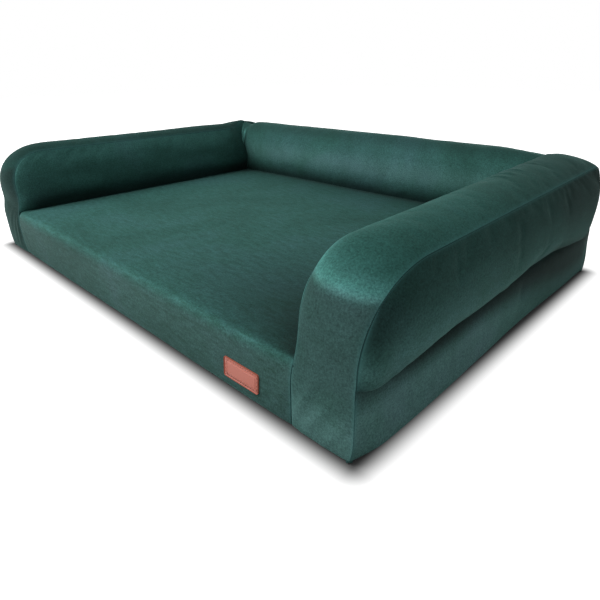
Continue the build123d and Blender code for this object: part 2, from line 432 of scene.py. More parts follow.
def dress(obj, material, slot, *nodes):
    """Give a piece its material and its body, and hide the frame's nodes that it stands for; slot is not
    used.
    """
    obj.data.materials.clear()
    obj.data.materials.append(material)
    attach(obj, "bed")
    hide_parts(*nodes)


def velvet_panel(
    name, size, place, away, material, nodes, shading, slack=None, push=None, most=None, detail=None,
    cell=None,
):
    """One sewn velvet panel, from its grid to its finish."""
    cell = cell or form().cell
    columns = max(4, round(size[0] / cell))
    rows = max(4, round(size[1] / cell))
    obj, flat = grid(name, columns, rows, place)
    face_outward(obj, away)
    keep_shares(obj, flat)
    settle(obj, flat, slack, push, most)
    refine(obj)
    if detail:
        flat = np.column_stack([stored(obj, "across"), stored(obj, "up")])
        set_points(obj, detail(points_of(obj), normals_of(obj), flat))
    hem(obj)
    scale_map(obj, size)
    edge_light(obj, size)
    brush(obj, shading)
    dress(obj, material, "velvet", *nodes)
    return obj


def edge_light(obj, size):
    """Write how near each point is to its seam, where the turned pile catches the light."""
    near = np.full(len(obj.data.vertices), 1.0)
    for name, length in zip(("across", "up"), size):
        share = stored(obj, name)
        near = np.minimum(near, np.minimum(share, 1 - share) * length)
    write(obj, "seam", fade(near, 2.6 * MM))


def scale_map(obj, size):
    """Make the panel's own map run in metres."""
    layer = obj.data.uv_layers.active
    flat = np.empty(len(layer.data) * 2)
    layer.data.foreach_get("uv", flat)
    layer.data.foreach_set("uv", (flat.reshape(-1, 2) * np.array(size)).ravel())


def fold(points, start, end, width, height):
    """Height of a soft fold that runs from start to end and fades at both ends."""
    start, end = np.array(start, float), np.array(end, float)
    run = end - start
    along = np.clip((points - start) @ run / (run @ run), 0, 1)
    gap = np.linalg.norm(points - (start + along[:, None] * run), axis=1)
    return height * bell(gap, 0, width) * np.sin(math.pi * np.clip(along, 0.02, 0.98)) ** 0.6


def new_material(name):
    """An empty node material with its principled shader."""
    material = bpy.data.materials.new(name)
    material.use_nodes = True
    tree = material.node_tree
    return material, tree, tree.nodes["Principled BSDF"]


def node(tree, kind, inputs=None, **settings):
    """One node with its settings and fixed inputs."""
    made = tree.nodes.new(kind)
    for key, value in settings.items():
        setattr(made, key, value)
    for key, value in (inputs or {}).items():
        made.inputs[key].default_value = value
    return made


def ramp(tree, source, stops):
    """A colour ramp over a value; stops are (place, colour)."""
    made = node(tree, "ShaderNodeValToRGB")
    elements = made.color_ramp.elements
    while len(elements) < len(stops):
        elements.new(0.5)
    for element, (place, colour) in zip(elements, stops):
        element.position = place
        element.color = (*colour, 1)
    tree.links.new(source, made.inputs["Fac"])
    return made.outputs["Color"]


def grey(value):
    """A grey for a ramp or a mix."""
    return (value, value, value)


def mix(tree, kind, fac, a, b):
    """Mix two colours; a and b are sockets or colours, fac is a socket or a number."""
    made = node(tree, "ShaderNodeMix", data_type="RGBA", blend_type=kind)
    for socket, value in ((made.inputs[0], fac), (made.inputs[6], a), (made.inputs[7], b)):
        if isinstance(value, bpy.types.NodeSocket):
            tree.links.new(value, socket)
        else:
            socket.default_value = (*value, 1) if isinstance(value, tuple) else value
    return made.outputs[2]


def seen_rays(tree):
    """1 for rays that show a background: straight from the camera, mirrored or through glass."""
    rays = node(tree, "ShaderNodeLightPath")
    total = rays.outputs["Is Camera Ray"]
    for kind in ("Is Glossy Ray", "Is Transmission Ray"):
        either = node(tree, "ShaderNodeMath", operation="MAXIMUM")
        tree.links.new(total, either.inputs[0])
        tree.links.new(rays.outputs[kind], either.inputs[1])
        total = either.outputs[0]
    return total


def pattern(tree, kind, inputs, coordinates="Object", **settings):
    """A texture that lies on the piece's own coordinates."""
    made = node(tree, kind, inputs, **settings)
    tree.links.new(node(tree, "ShaderNodeTexCoord").outputs[coordinates], made.inputs["Vector"])
    return made


def bumped(tree, height, strength, distance, under=None):
    """The normal of a surface that a height roughens, over the roughness under it."""
    bump = node(tree, "ShaderNodeBump", {"Strength": strength, "Distance": distance})
    tree.links.new(height, bump.inputs["Height"])
    if under:
        tree.links.new(under, bump.inputs["Normal"])
    return bump.outputs["Normal"]


def tinted(colour, share):
    """A colour made lighter or darker by a share."""
    return tuple(share * channel for channel in colour)


def velvet(name, shade, nap, streak, turn=0.0, depth=0.14, sheen=0.17, gloss=0.12):
    """Cut-pile velvet: brushed patches, streaks along the pile, pile grain and a soft sheen, with painted
    light and shade from the points' stored values.

    shade is how light the panel's pile lies and partly paints light or shade onto that side of the bed, nap
    moves it between deep and cool and so paints some panels darker or lighter too, streak is how many streaks
    run across and up a metre, turn turns them and depth is how much they show, sheen is how much light the
    pile's tips catch and gloss is how much its fibres mirror.
    """
    colours = palette()
    material, tree, shader = new_material(name)
    link = tree.links.new
    soft = {"Detail": 4.0}
    patches = pattern(
        tree, "ShaderNodeTexNoise", {"Scale": 5.0, "Detail": 3.0, "Roughness": 0.55, "Distortion": 0.6}
    )
    tones = [tinted(getattr(colours, "velvet_" + tone), shade) for tone in ("deep", "mid", "cool")]
    stops = [(stop - 0.1 * nap, tone) for stop, tone in zip((0.26, 0.50, 0.76), tones)]
    base = ramp(tree, patches.outputs["Fac"], stops)
    stretch = pattern(
        tree, "ShaderNodeMapping", {"Rotation": (0, 0, turn), "Scale": (*streak, 1)}, coordinates="UV"
    )
    streaks = node(tree, "ShaderNodeTexNoise", {"Scale": 1.0, "Detail": 6.0, "Roughness": 0.68})
    link(stretch.outputs["Vector"], streaks.inputs["Vector"])
    ends = [(0.30, (1 - depth, 1 - 0.8 * depth, 1 - depth)), (0.70, (1 + depth, 1 + 0.8 * depth, 1 + depth))]
    streaked = mix(tree, "MULTIPLY", 1.0, base, ramp(tree, streaks.outputs["Fac"], ends))
    mottle = pattern(
        tree, "ShaderNodeTexNoise", {**soft, "Scale": 90.0, "Roughness": 0.7, "Distortion": 0.5}
    )
    blotches = ramp(tree, mottle.outputs["Fac"], [(0.32, grey(0.94)), (0.68, grey(1.06))])
    pile = pattern(tree, "ShaderNodeTexNoise", {**soft, "Scale": 430.0, "Roughness": 0.8})
    grain = ramp(tree, pile.outputs["Fac"], [(0.30, grey(0.52)), (0.70, grey(1.48))])
    grained = mix(tree, "MULTIPLY", 1.0, mix(tree, "MULTIPLY", 1.0, streaked, blotches), grain)
    # Light and shade are painted into the colour from the points' stored values. nap above 0 paints a
    # highlight and below 0 paints shade, deepest in the creases, besides some true change in the pile's
    # direction. dust greys the pile as a painted sheen, partly for the pile's direction. seam paints a
    # highlight along each turned edge.
    shares = {}
    for share, source, least, reach, most in (
        ("light", "nap", 0.0, 1.0, 0.9), ("dark", "nap", 0.0, -1.0, 0.85), ("dust", "dust", 0.0, 1.0, 1.0),
        ("seam", "seam", 0.0, 0.9, 0.42), ("stitch", "seam", 0.7, 0.92, 0.7),
        ("deep", "nap", -1.0, -1.4, 1.0),
    ):
        lies = node(tree, "ShaderNodeAttribute", attribute_name=source)
        scaled = node(tree, "ShaderNodeMapRange", {"From Min": least, "From Max": reach, "To Max": most})
        link(lies.outputs["Fac"], scaled.inputs["Value"])
        shares[share] = scaled.outputs["Result"]
    tone = grained
    # light is a painted highlight, dark and deep are painted shade, dust is a painted greying sheen, seam is
    # a painted highlight at the edges and stitch is the dark seam line.
    for share, kind, tint in (
        ("dust", "MULTIPLY", tuple(colours.velvet_dust)), ("light", "MULTIPLY", (3.0, 2.7, 2.8)),
        ("dark", "MULTIPLY", grey(0.12)), ("deep", "MULTIPLY", grey(0.3)),
        ("seam", "MIX", tinted(tones[2], 1.7)), ("stitch", "MULTIPLY", grey(0.08)),
    ):
        tone = mix(tree, kind, shares[share], tone, tint)
    link(tone, shader.inputs["Base Color"])
    uneven = pattern(tree, "ShaderNodeTexNoise", {**soft, "Scale": 38.0, "Roughness": 0.55})
    fine = bumped(tree, pile.outputs["Fac"], 0.5, 0.0006)
    link(bumped(tree, uneven.outputs["Fac"], 0.15, 0.002, fine), shader.inputs["Normal"])
    shader.inputs["Roughness"].default_value = 0.8
    shader.inputs["Specular IOR Level"].default_value = gloss
    shader.inputs["Sheen Weight"].default_value = sheen
    shader.inputs["Sheen Roughness"].default_value = 0.35
    shader.inputs["Sheen Tint"].default_value = (*colours.velvet_sheen, 1)
    return material


def plain_cloth(name, colour, weave):
    """A flat woven cloth with threads of that many per metre."""
    material, tree, shader = new_material(name)
    link = tree.links.new
    both = node(tree, "ShaderNodeMath", operation="MAXIMUM")
    for socket, axis in zip(both.inputs, ("X", "Y")):
        threads = pattern(
            tree, "ShaderNodeTexWave", {"Scale": weave, "Distortion": 0.4}, bands_direction=axis
        )
        link(threads.outputs["Fac"], socket)
    tint = ramp(tree, both.outputs[0], [(0.0, tinted(colour, 0.55)), (1.0, tuple(colour))])
    link(tint, shader.inputs["Base Color"])
    link(bumped(tree, both.outputs[0], 0.5, 0.0004), shader.inputs["Normal"])
    shader.inputs["Roughness"].default_value = 0.9
    shader.inputs["Specular IOR Level"].default_value = 0.15
    return material


def foam_material(name, colour):
    """Open-cell foam: fine pores and a little yellowing."""
    material, tree, shader = new_material(name)
    link = tree.links.new
    pores = pattern(tree, "ShaderNodeTexVoronoi", {"Scale": 420.0})
    patch = pattern(tree, "ShaderNodeTexNoise", {"Scale": 9.0, "Detail": 2.0})
    aged = ramp(tree, patch.outputs["Fac"], [(0.3, tinted(colour, 0.86)), (0.7, tuple(colour))])
    holes = ramp(tree, pores.outputs["Distance"], [(0.0, grey(0.62)), (0.35, grey(1.0))])
    link(mix(tree, "MULTIPLY", 1.0, aged, holes), shader.inputs["Base Color"])
    link(bumped(tree, pores.outputs["Distance"], 0.6, 0.0008), shader.inputs["Normal"])
    shader.inputs["Roughness"].default_value = 0.95
    return material


def leather_material(name, colour):
    """Coated leather: pebbled grain with darker pits, and a cloudy tone."""
    material, tree, shader = new_material(name)
    link = tree.links.new
    grain = pattern(tree, "ShaderNodeTexVoronoi", {"Scale": 900.0}, feature="SMOOTH_F1")
    cloud = pattern(tree, "ShaderNodeTexNoise", {"Scale": 70.0, "Detail": 4.0})
    tone = ramp(tree, cloud.outputs["Fac"], [(0.3, tinted(colour, 0.80)), (0.7, tinted(colour, 1.1))])
    pits = ramp(tree, grain.outputs["Distance"], [(0.1, grey(1.0)), (0.8, grey(0.82))])
    link(mix(tree, "MULTIPLY", 1.0, tone, pits), shader.inputs["Base Color"])
    link(bumped(tree, grain.outputs["Distance"], 0.35, 0.0003), shader.inputs["Normal"])
    shader.inputs["Roughness"].default_value = 0.5
    return material


def hard_material(name, colour, rough, metal):
    """Painted metal or moulded nylon with faint scuffs."""
    material, tree, shader = new_material(name)
    link = tree.links.new
    scuffs = pattern(tree, "ShaderNodeTexNoise", {"Scale": 260.0, "Detail": 4.0})
    tone = ramp(tree, scuffs.outputs["Fac"], [(0.35, tinted(colour, 0.85)), (0.65, tinted(colour, 1.2))])
    link(tone, shader.inputs["Base Color"])
    stops = [(0.3, grey(rough * 0.85)), (0.7, grey(min(1.0, rough * 1.2)))]
    link(ramp(tree, scuffs.outputs["Fac"], stops), shader.inputs["Roughness"])
    shader.inputs["Metallic"].default_value = metal
    return material


def write(obj, name, values):
    """Keep a value from -1.5 to 1 at each point."""
    layer = obj.data.attributes.new(name, "FLOAT", "POINT")
    values = np.broadcast_to(values, len(obj.data.vertices))
    layer.data.foreach_set("value", np.clip(values, -1.5, 1).astype(np.float32))


def brush(obj, shading):
    """Write the light and shade painted onto the pile: nap paints it lighter or darker, partly for the pile's
    direction, and dust paints it greyer as a sheen, partly for the pile's direction.
    """
    nap, dust = shading(points_of(obj), stored(obj, "across"), stored(obj, "up"))
    write(obj, "nap", nap)
    write(obj, "dust", dust)


def stored(obj, name):
    """A stored value at each point."""
    values = np.empty(len(obj.data.vertices), np.float32)
    obj.data.attributes[name].data.foreach_get("value", values)
    return values


class BED_OT_seat(bpy.types.Operator):
    """Seat top that rolls over the front edge and down to the floor"""

    bl_idname = "bed.seat"
    bl_label = "Seat"

    def execute(self, context):
        sizes = form()
        gap = sizes.seam_gap
        line = rounded_line(
            [
                (FRONT_Y + sizes.foot_radius + 1 * MM, FLOOR_GAP), (FRONT_Y, FLOOR_GAP), (FRONT_Y, BASE_TOP),
                (BACK_LOW.y + sizes.back_crown + 12 * MM, BASE_TOP),
            ],
            [sizes.foot_radius, sizes.edge_radius],
        )
        route = Route(line)
        roll = route.share_near(FRONT_Y + sizes.edge_radius, BASE_TOP)
        width = 2 * (SEAM_X - gap)
        spill = 3 * MM

        def place(across, up):
            up = crowd(up, 0.15)
            spot, side = route.at(up), route.side(up)
            seat = np.clip((up - roll) / (1 - roll), 0, 1)
            face = np.clip(up / roll, 0, 1)
            reach = width / 2 + spill * step(up, roll + 0.02, roll + 0.06)
            x = (2 * crowd(across, 0.25) - 1) * reach
            x = x + foot_flare(-1, spot[:, 0], spot[:, 1]) * step(1 - across, 0.8, 1)
            crown = 3.0 * MM * hump(across, 8) * hump(seat, 4) + 1.4 * MM * hump(across, 10) * hump(face, 3)
            crown += 2.6 * MM * bell(face, 0.18, 0.2) * hump(across, 10) * (0.4 + 0.6 * across)
            sink = 2.5 * MM * (1 - hump(across, 30)) * step(up, roll, roll + 0.05)
            out = (crown - sink)[:, None] * side
            y, z = spot[:, 0] + out[:, 0], spot[:, 1] + out[:, 1]
            y = y + lean_back(False, y, z) * fade(SEAM_X - np.abs(x), 25 * MM)
            return np.column_stack([x, y, z])

        def detail(points, normals, flat):
            rise = 0.7 * MM * waves(points, 160 * MM, 3.0) + 0.35 * MM * waves(points, 50 * MM, 9.0)
            for shift, height in ((0, 1.7), (13, 1.2), (27, 0.8)):
                foot = (-SEAM_X + (24 + shift) * MM, FRONT_Y, 10 * MM)
                top = (-SEAM_X + (6 + shift * 0.35) * MM, FRONT_Y, 78 * MM)
                rise += fold(points, foot, top, 4 * MM, height * MM)
            return points + normals * (rise * hump(flat[:, 0], 60))[:, None]

        def shading(points, across, up):
            # Painted light and shade: a highlight along the front edge, the front face darker, and the seat's
            # top darker near the arms, the right front and the back bolster, where their shade falls. The
            # front face is greyed as a painted sheen.
            x, y, z = points.T
            side, back = SEAM_X - np.abs(x), BACK_LOW.y + 5 * MM - y
            top = step(z, BASE_TOP - 6 * MM, BASE_TOP)
            patchy = 0.5 + 0.5 * waves(points * np.array([1, 0, 0]), 45 * MM, 77.0)
            painted_edge_highlight = bell(y, FRONT_Y + 4 * MM, 4.5 * MM) * step(z, 78 * MM, 88 * MM)
            nap = 0.34 * painted_edge_highlight * np.clip(patchy * 1.5 - 0.25, 0, 1)
            lower = 0.5 - 0.25 * step(x, -400 * MM, 300 * MM) - 0.13 * bell(x, 0, 200 * MM)
            nap -= (1 - step(z, 70 * MM, 88 * MM)) * lower
            shade = bell(x, 310 * MM, 170 * MM) * bell(y, FRONT_Y + 110 * MM, 120 * MM)
            nap -= 0.32 * shade * step(y, FRONT_Y + 10 * MM, FRONT_Y + 50 * MM)
            nap -= top * (0.55 * fade(side, 9 * MM) + step(x, -100 * MM, 350 * MM) * fade(side, 105 * MM))
            nap -= top * (0.5 * fade(back, 10 * MM) + 0.7 * fade(back, 110 * MM))
            nap -= top * 0.12 * step(x, -300 * MM, 300 * MM)
            return nap, 0.85 * (1 - step(z, 72 * MM, BASE_TOP))

        velvet_panel(
            "seat_and_front_velvet", (width, route.length), place,
            lambda points: points - np.array([0, 100, -200]) * MM,
            bpy.data.materials["velvet_seat"], ["seat_and_front_panel"], shading,
            slack=0.001, push=0.4, most=1.5 * MM, detail=detail, cell=8 * MM,
        )
        return {"FINISHED"}


def which(side, pair):
    """The left or the right value of a pair."""
    return pair[1] if side > 0 else pair[0]


def outer_seam(side, y, z):
    """How far out an arm's outer seam lies: the base is widest, and the rear end draws in."""
    above = step(z, BASE_TOP - 4 * MM, BASE_TOP + 22 * MM)
    rear = step(y, REAR_Y - 60 * MM, REAR_Y) * step(z, 20 * MM, 70 * MM)
    waist = bell(z, BASE_TOP, 13 * MM) * which(side, (3.0, 1.0)) * MM
    inset = which(side, (6.0, 3.5)) * MM
    corner = bell(z, 0, 16 * MM) * (1 - step(y, FRONT_Y, FRONT_Y + 45 * MM))
    corner = corner * which(side, (10.0, 4.0)) * MM
    return SIDE_X - 0.5 * MM - inset * above - waist - corner - (4 + 14 * above) * MM * rear


def settled_height(side, y, z):
    """Drop an arm's rear end."""
    sizes = form()
    height = np.clip((z - BASE_TOP) / (sizes.seam_front[0] - BASE_TOP), 0, 1)
    return z - which(side, sizes.arm_fall) * height * step(y, REAR_Y - 75 * MM, REAR_Y)


def arm_route(side, outer, low, end_y, foot=0.0):
    """The line of an arm's inner or outer seam, from its front foot to its rear foot.

    Also gives the shares of its length at which the front and rear corners are half turned.
    """
    sizes = form()
    rounds = which(side, (sizes.left_round, sizes.right_round))
    run, drop = rounds[2:] if outer else rounds[:2]
    peak = arm_height(side, outer, FRONT_Y + run)
    turn = np.linspace(0, math.pi / 2, 41)
    power = 2 / sizes.corner_fullness
    bend = np.column_stack([
        FRONT_Y + run * (1 - np.cos(turn) ** power), peak - drop + drop * np.sin(turn) ** power,
    ])
    rear = arm_height(side, outer, end_y)
    before, radii = [(FRONT_Y, low), tuple(bend[0])], []
    after, rear_radii = [tuple(bend[-1]), (end_y, rear), (end_y, low)], [sizes.arm_rear_round]
    if foot:
        before, radii = [(FRONT_Y + foot + 1 * MM, low), *before], [foot]
        after, rear_radii = [*after, (end_y - foot - 1 * MM, low)], [*rear_radii, foot]
    line = np.concatenate([rounded_line(before, radii)[:-1], bend[:-1], rounded_line(after, rear_radii)])
    line = Route(line).at(np.linspace(0, 1, 600))
    line[:, 0] += lean_back(outer, line[:, 0], line[:, 1])
    route = Route(line)
    tip = sizes.arm_rear_round * 0.29
    return route, route.share_near(*bend[20]), route.share_near(end_y - tip, rear - tip)


def lean_back(outer, y, z):
    """How far back an arm's front seams lean at a height: the inner one sets off lower."""
    start = BASE_TOP - (10 if outer else 30) * MM
    climb = step(z, start, start + (30 if outer else 60) * MM)
    return form().front_lean[outer] * climb * np.exp(-(y - FRONT_Y) / (45 * MM))


def arm_height(side, outer, y):
    """The height that one of an arm's top seams has climbed to."""
    sizes = form()
    seam = 2 * (side > 0) + outer
    front, rear = sizes.seam_front[seam], sizes.seam_rear[seam]
    return front + (rear - front) * (y - FRONT_Y) / (REAR_Y - FRONT_Y)


def filled(route, floor_line, corner_a, corner_b):
    """A patch between a line below and the route round the other three sides."""

    def place(across, up):
        a, b = corner_a, corner_b
        low = floor_line(across)
        top = route.at(a + (b - a) * across)
        left = route.at(a * up)
        right = route.at(1 - (1 - b) * up)
        c00, c10 = route.at(0.0), route.at(1.0)
        c01, c11 = route.at(a), route.at(b)
        u, v = across[:, None], up[:, None]
        corners = (1 - u) * (1 - v) * c00 + u * (1 - v) * c10 + (1 - u) * v * c01 + u * v * c11
        return (1 - v) * low + v * top + (1 - u) * left + u * right - corners

    return place


def ear(points):
    """Height of the small peak where the left arm's top meets the back bolster."""
    gap = np.hypot(points[:, 0] + SEAM_X + 15 * MM, points[:, 1] - (BACK_LOW.y + 20 * MM))
    peak = 9 * MM * bell(gap, 0, 16 * MM) + 6 * MM * bell(gap, 0, 38 * MM)
    return peak * step(points[:, 2], 160 * MM, 200 * MM)


# Soft folds of a strip, left and right, in millimetres: at its foot from (x, z) to (x, z), width and height
FOOT_FOLDS = (
    (((418, 82), (430, 12), 5, 2.0), ((428, 86), (452, 16), 5, 1.8), ((440, 92), (476, 30), 6, 1.4)),
    (
        ((418, 20), (452, 84), 5, 2.6), ((430, 6), (476, 68), 6, 2.4), ((458, 4), (494, 50), 5, 2.0),
        ((440, 95), (486, 140), 7, 1.4),
    ),
)
# Folds across its top, left and right, in millimetres: how far back, and height
TOP_FOLDS = ((), ((40, 1.6), (62, 2.0), (88, 1.6), (150, 1.3)))


def arm_strip(side, material):
    """Boxing strip: up the front from the floor, over the round corner and back along the top."""
    sizes = form()
    name = which(side, ("left", "right"))
    inner_line = arm_route(side, False, FLOOR_GAP, REAR_Y, sizes.foot_radius)[0]
    outer_line = arm_route(side, True, FLOOR_GAP, REAR_Y, sizes.foot_radius)[0]
    width = SIDE_X - SEAM_X

    def place(along, across):
        slide = across[:, None]
        spot = inner_line.at(along) * (1 - slide) + outer_line.at(along) * slide
        out = inner_line.side(along) * (1 - slide) + outer_line.side(along) * slide
        inner = SEAM_X + corner_pull(side, spot[:, 0], spot[:, 1]) - foot_flare(side, spot[:, 0], spot[:, 1])
        wide = outer_seam(side, spot[:, 0], spot[:, 1]) - inner - 2 * sizes.seam_gap
        x = inner + sizes.seam_gap + wide * crowd(across, 0.35)
        top = step(spot[:, 1], 90 * MM, 185 * MM) * crown_left(side, spot[:, 0])
        crown = (1.5 * MM + (sizes.top_crown - 1.5 * MM) * top) * hump(across, 2)
        y, z = spot[:, 0] + out[:, 0] * crown, spot[:, 1] + out[:, 1] * crown
        return np.column_stack([side * x, y, settled_height(side, y, z)])

    def detail(points, normals, flat):
        rise = 0.8 * MM * waves(points, 90 * MM, 21.0 * side) + 0.3 * MM * waves(points, 30 * MM, 5.0)
        for start, end, wide, height in which(side, FOOT_FOLDS):
            foot, top = [(side * x * MM, FRONT_Y, z * MM) for x, z in (start, end)]
            rise += fold(points, foot, top, wide * MM, height * MM)
        for y, height in which(side, TOP_FOLDS):
            top = arm_height(side, False, y * MM)
            outward = (SEAM_X + 40 * MM, (y - 8) * MM, top + 14 * MM)
            rise += fold(points, (SEAM_X, y * MM, top), outward, 4 * MM, height * MM)
        points = points + normals * (rise * hump(flat[:, 1], 14) * hump(flat[:, 0], 80))[:, None]
        if side < 0:
            points[:, 2] += ear(points)
        return points

    def away(points):
        return (points - np.array([side * (SEAM_X + SIDE_X) / 2, 0, 100 * MM])) * np.array([0, 1, 1])

    def shading(points, along, across):
        # Painted light and shade: glow is a painted sheen band across the front, rim a painted highlight
        # along the inner edge, the top darker towards the rear and the left strip darker as painted shade,
        # and the foot lighter as painted light from the floor. Below the band the pile is greyed as a painted
        # sheen.
        y, z = points[:, 1], points[:, 2]
        front = 1 - step(y, FRONT_Y + 80 * MM, FRONT_Y + 130 * MM)
        band = (183 - 10 * across) * MM
        glow = bell(z, band, np.where(z > band, 12 * MM, 6 * MM)) * front
        above = step(z, band, band + 10 * MM)
        rim = fade(across, 0.12) * above * (1 - step(y, -240 * MM, -50 * MM))
        nap = 0.88 * glow * (0.85 + 0.15 * waves(points, 20 * MM, 8.0)) + 0.6 * rim
        nap -= above * (0.12 * across + 0.93 * step(y, -250 * MM, 300 * MM))
        nap -= 0.3 * front * (1 - above) * (1 - glow) * step(z, 20 * MM, 60 * MM)
        nap += 0.4 * (1 - step(z, 40 * MM, 90 * MM))
        if side < 0:
            nap = 0.2 * nap - 0.68 - 0.15 * front
        return nap + 0.06 * waves(points, 90 * MM, 4.0), 0.9 * (1 - step(z, band - 12 * MM, band + 4 * MM))

    return velvet_panel(
        f"{name}_arm_strip_velvet", (inner_line.length, width), place, away, material,
        [f"{name}_arm_gusset"], shading, slack=0.002, most=1.5 * MM, detail=detail,
    )


def crease_depth(across):
    """How deep the crease under an arm is along its length: shallow at both ends."""
    return form().crease * step(across, 0, 0.07) * step(1 - across, 0, 0.09)


def corner_pull(side, y, z):
    """How far the back bolster pushes the left arm's inner seam aside."""
    if side > 0:
        return 0 * y
    near = step(y, BACK_LOW.y - 45 * MM, BACK_LOW.y + 4 * MM)
    near = near * (1 - step(y, BACK_LOW.y + 30 * MM, REAR_Y - 8 * MM))
    return 17 * MM * step(z, 125 * MM, 205 * MM) * near


def foot_flare(side, y, z):
    """How far the left strip spreads over the seat's front at its foot."""
    if side > 0:
        return 0 * y
    return 13 * MM * fade(z, 32 * MM) * (1 - step(y, FRONT_Y + 3 * MM, FRONT_Y + 14 * MM))


def crown_left(side, y):
    """What is left of an arm's crown along it: the right arm flattens to its rear end."""
    return 1 - which(side, (0.0, 0.95)) * step(y, REAR_Y - 125 * MM, REAR_Y - 10 * MM)


def drape(y):
    """How far an arm's outer side hangs over its crease along the arm: most at both ends."""
    places = (-354, -310, -280, -200, -50, 40, 130, 190, 280, 346)
    more = np.interp(y / MM, places, (10, 10, 6, 0, 0, -9, -9, 0, 9, 11))
    return form().droop + more * MM


def arm_side(side, outer, material):
    """Crowned side panel of an arm: the outer one bulges over the base, the inner one over the seat."""
    sizes = form()
    name = which(side, ("left", "right"))
    end_y = REAR_Y if outer else BACK_LOW.y + 34 * MM
    low = BASE_TOP if outer else BASE_TOP - sizes.edge_radius
    route, share_a, share_b = arm_route(side, outer, low, end_y)

    def floor_line(across):
        y = FRONT_Y + (end_y - FRONT_Y) * across
        z = np.full_like(y, low)
        if not outer:
            inside = np.clip(sizes.edge_radius - (y - FRONT_Y), 0, sizes.edge_radius)
            drop = sizes.edge_radius - np.sqrt(np.maximum(sizes.edge_radius**2 - inside**2, 0))
            z = BASE_TOP - drop - 3 * MM * step(across, 0, 0.03)
        return np.column_stack([y + lean_back(outer, y, z), z])

    patch = filled(route, floor_line, share_a, share_b)

    def place(across, up):
        across, up = crowd(across, 0.25), crowd(up, 0.3)
        flat = patch(across, up)
        y, z = flat[:, 0], flat[:, 1]
        if outer:
            ends = hump(across, 16) ** 0.75 * (0.35 + 0.65 * step(1 - across, 0, 0.14))
            seam = outer_seam(side, y, z) - sizes.seam_gap
            tuck = crease_depth(across) * (1 - up) ** 2
            x = seam - tuck + (sizes.outer_crown * ends) * swell(up, 0.26, 2.1)
            z = z - drape(y) * ends * hang(up, 0.42)
        else:
            ends = hump(across, 14) ** 0.75
            x = SEAM_X + sizes.seam_gap + 3 * MM * (1 - up) ** 3 * step(across, 0, 0.05)
            x = x + corner_pull(side, y, z)
            x = x - sizes.inner_crown * ends * swell(up, 0.36, 2.1)
            z = z - 3 * MM * ends * hang(up, 0.5)
        return np.column_stack([side * x, y, settled_height(side, y, z) if outer else z])

    def detail(points, normals, flat):
        rise = 0.9 * MM * waves(points, 140 * MM, 31.0 + side) + 0.3 * MM * waves(points, 35 * MM, 7.0)
        if outer:
            for y, height in ((12, 1.6), (24, 1.3), (38, 0.9)):
                foot = (side * (SIDE_X + 2 * MM), FRONT_Y + y * 0.5 * MM, BASE_TOP + 2 * MM)
                top = (side * (SIDE_X + 9 * MM), FRONT_Y + (y * 1.5 + 6) * MM, BASE_TOP + 34 * MM)
                rise += fold(points, foot, top, 4 * MM, height * MM)
            for y, height in ((8, 1.8), (22, 1.4), (40, 1.0)):
                foot = (side * SIDE_X, REAR_Y - y * MM, BASE_TOP + 3 * MM)
                top = (side * SIDE_X, REAR_Y - (y + 26) * MM, BASE_TOP + 26 * MM)
                rise += fold(points, foot, top, 4 * MM, height * MM)
        points = points + normals * (rise * hump(flat[:, 0], 50) * hump(flat[:, 1], 16))[:, None]
        if side < 0 and not outer:
            points[:, 2] += ear(points)
        return points

    def shading(points, across, up):
        # Painted light and shade: the outer side is lighter on its lower bulge, darker under its seam, behind
        # its front and towards the rear, and darkest in the crease. The inner side is lighter at the top and
        # dark down to the seat, where shade falls. The second value greys the pile as a painted sheen.
        if outer:
            nap = 0.42 * bell(up, 0.27, 0.13) - 0.35 * step(up, 0.4, 0.75) - 1.3 * fade(up, 0.07)
            nap -= 0.15 + 0.55 * step(across, 0.2, 0.95) + 0.5 * fade(across, 0.12) * step(up, 0.3, 0.55)
            nap -= 0.3 * step(across, 0.5, 0.75)
            return nap + 0.12 * waves(points, 60 * MM, 14.0), 0.75 - 0.45 * up
        nap = 0.45 * step(up, 0.5, 0.97) - bell(up, 0, 0.33, 4) * step(across, 0, 0.1)
        nap += 0.22 * waves(points * np.array([1, 0.35, 1.5]), 35 * MM, 14.0)
        return nap - 0.4 * step(across, 0.75, 0.95), 0.1

    part = "outer" if outer else "inner"
    return velvet_panel(
        f"{name}_arm_{part}_velvet", (end_y - FRONT_Y, 160 * MM), place, (side if outer else -side, 0, 0),
        material, [f"{name}_arm_{part}_panel"], shading, detail=detail,
    )


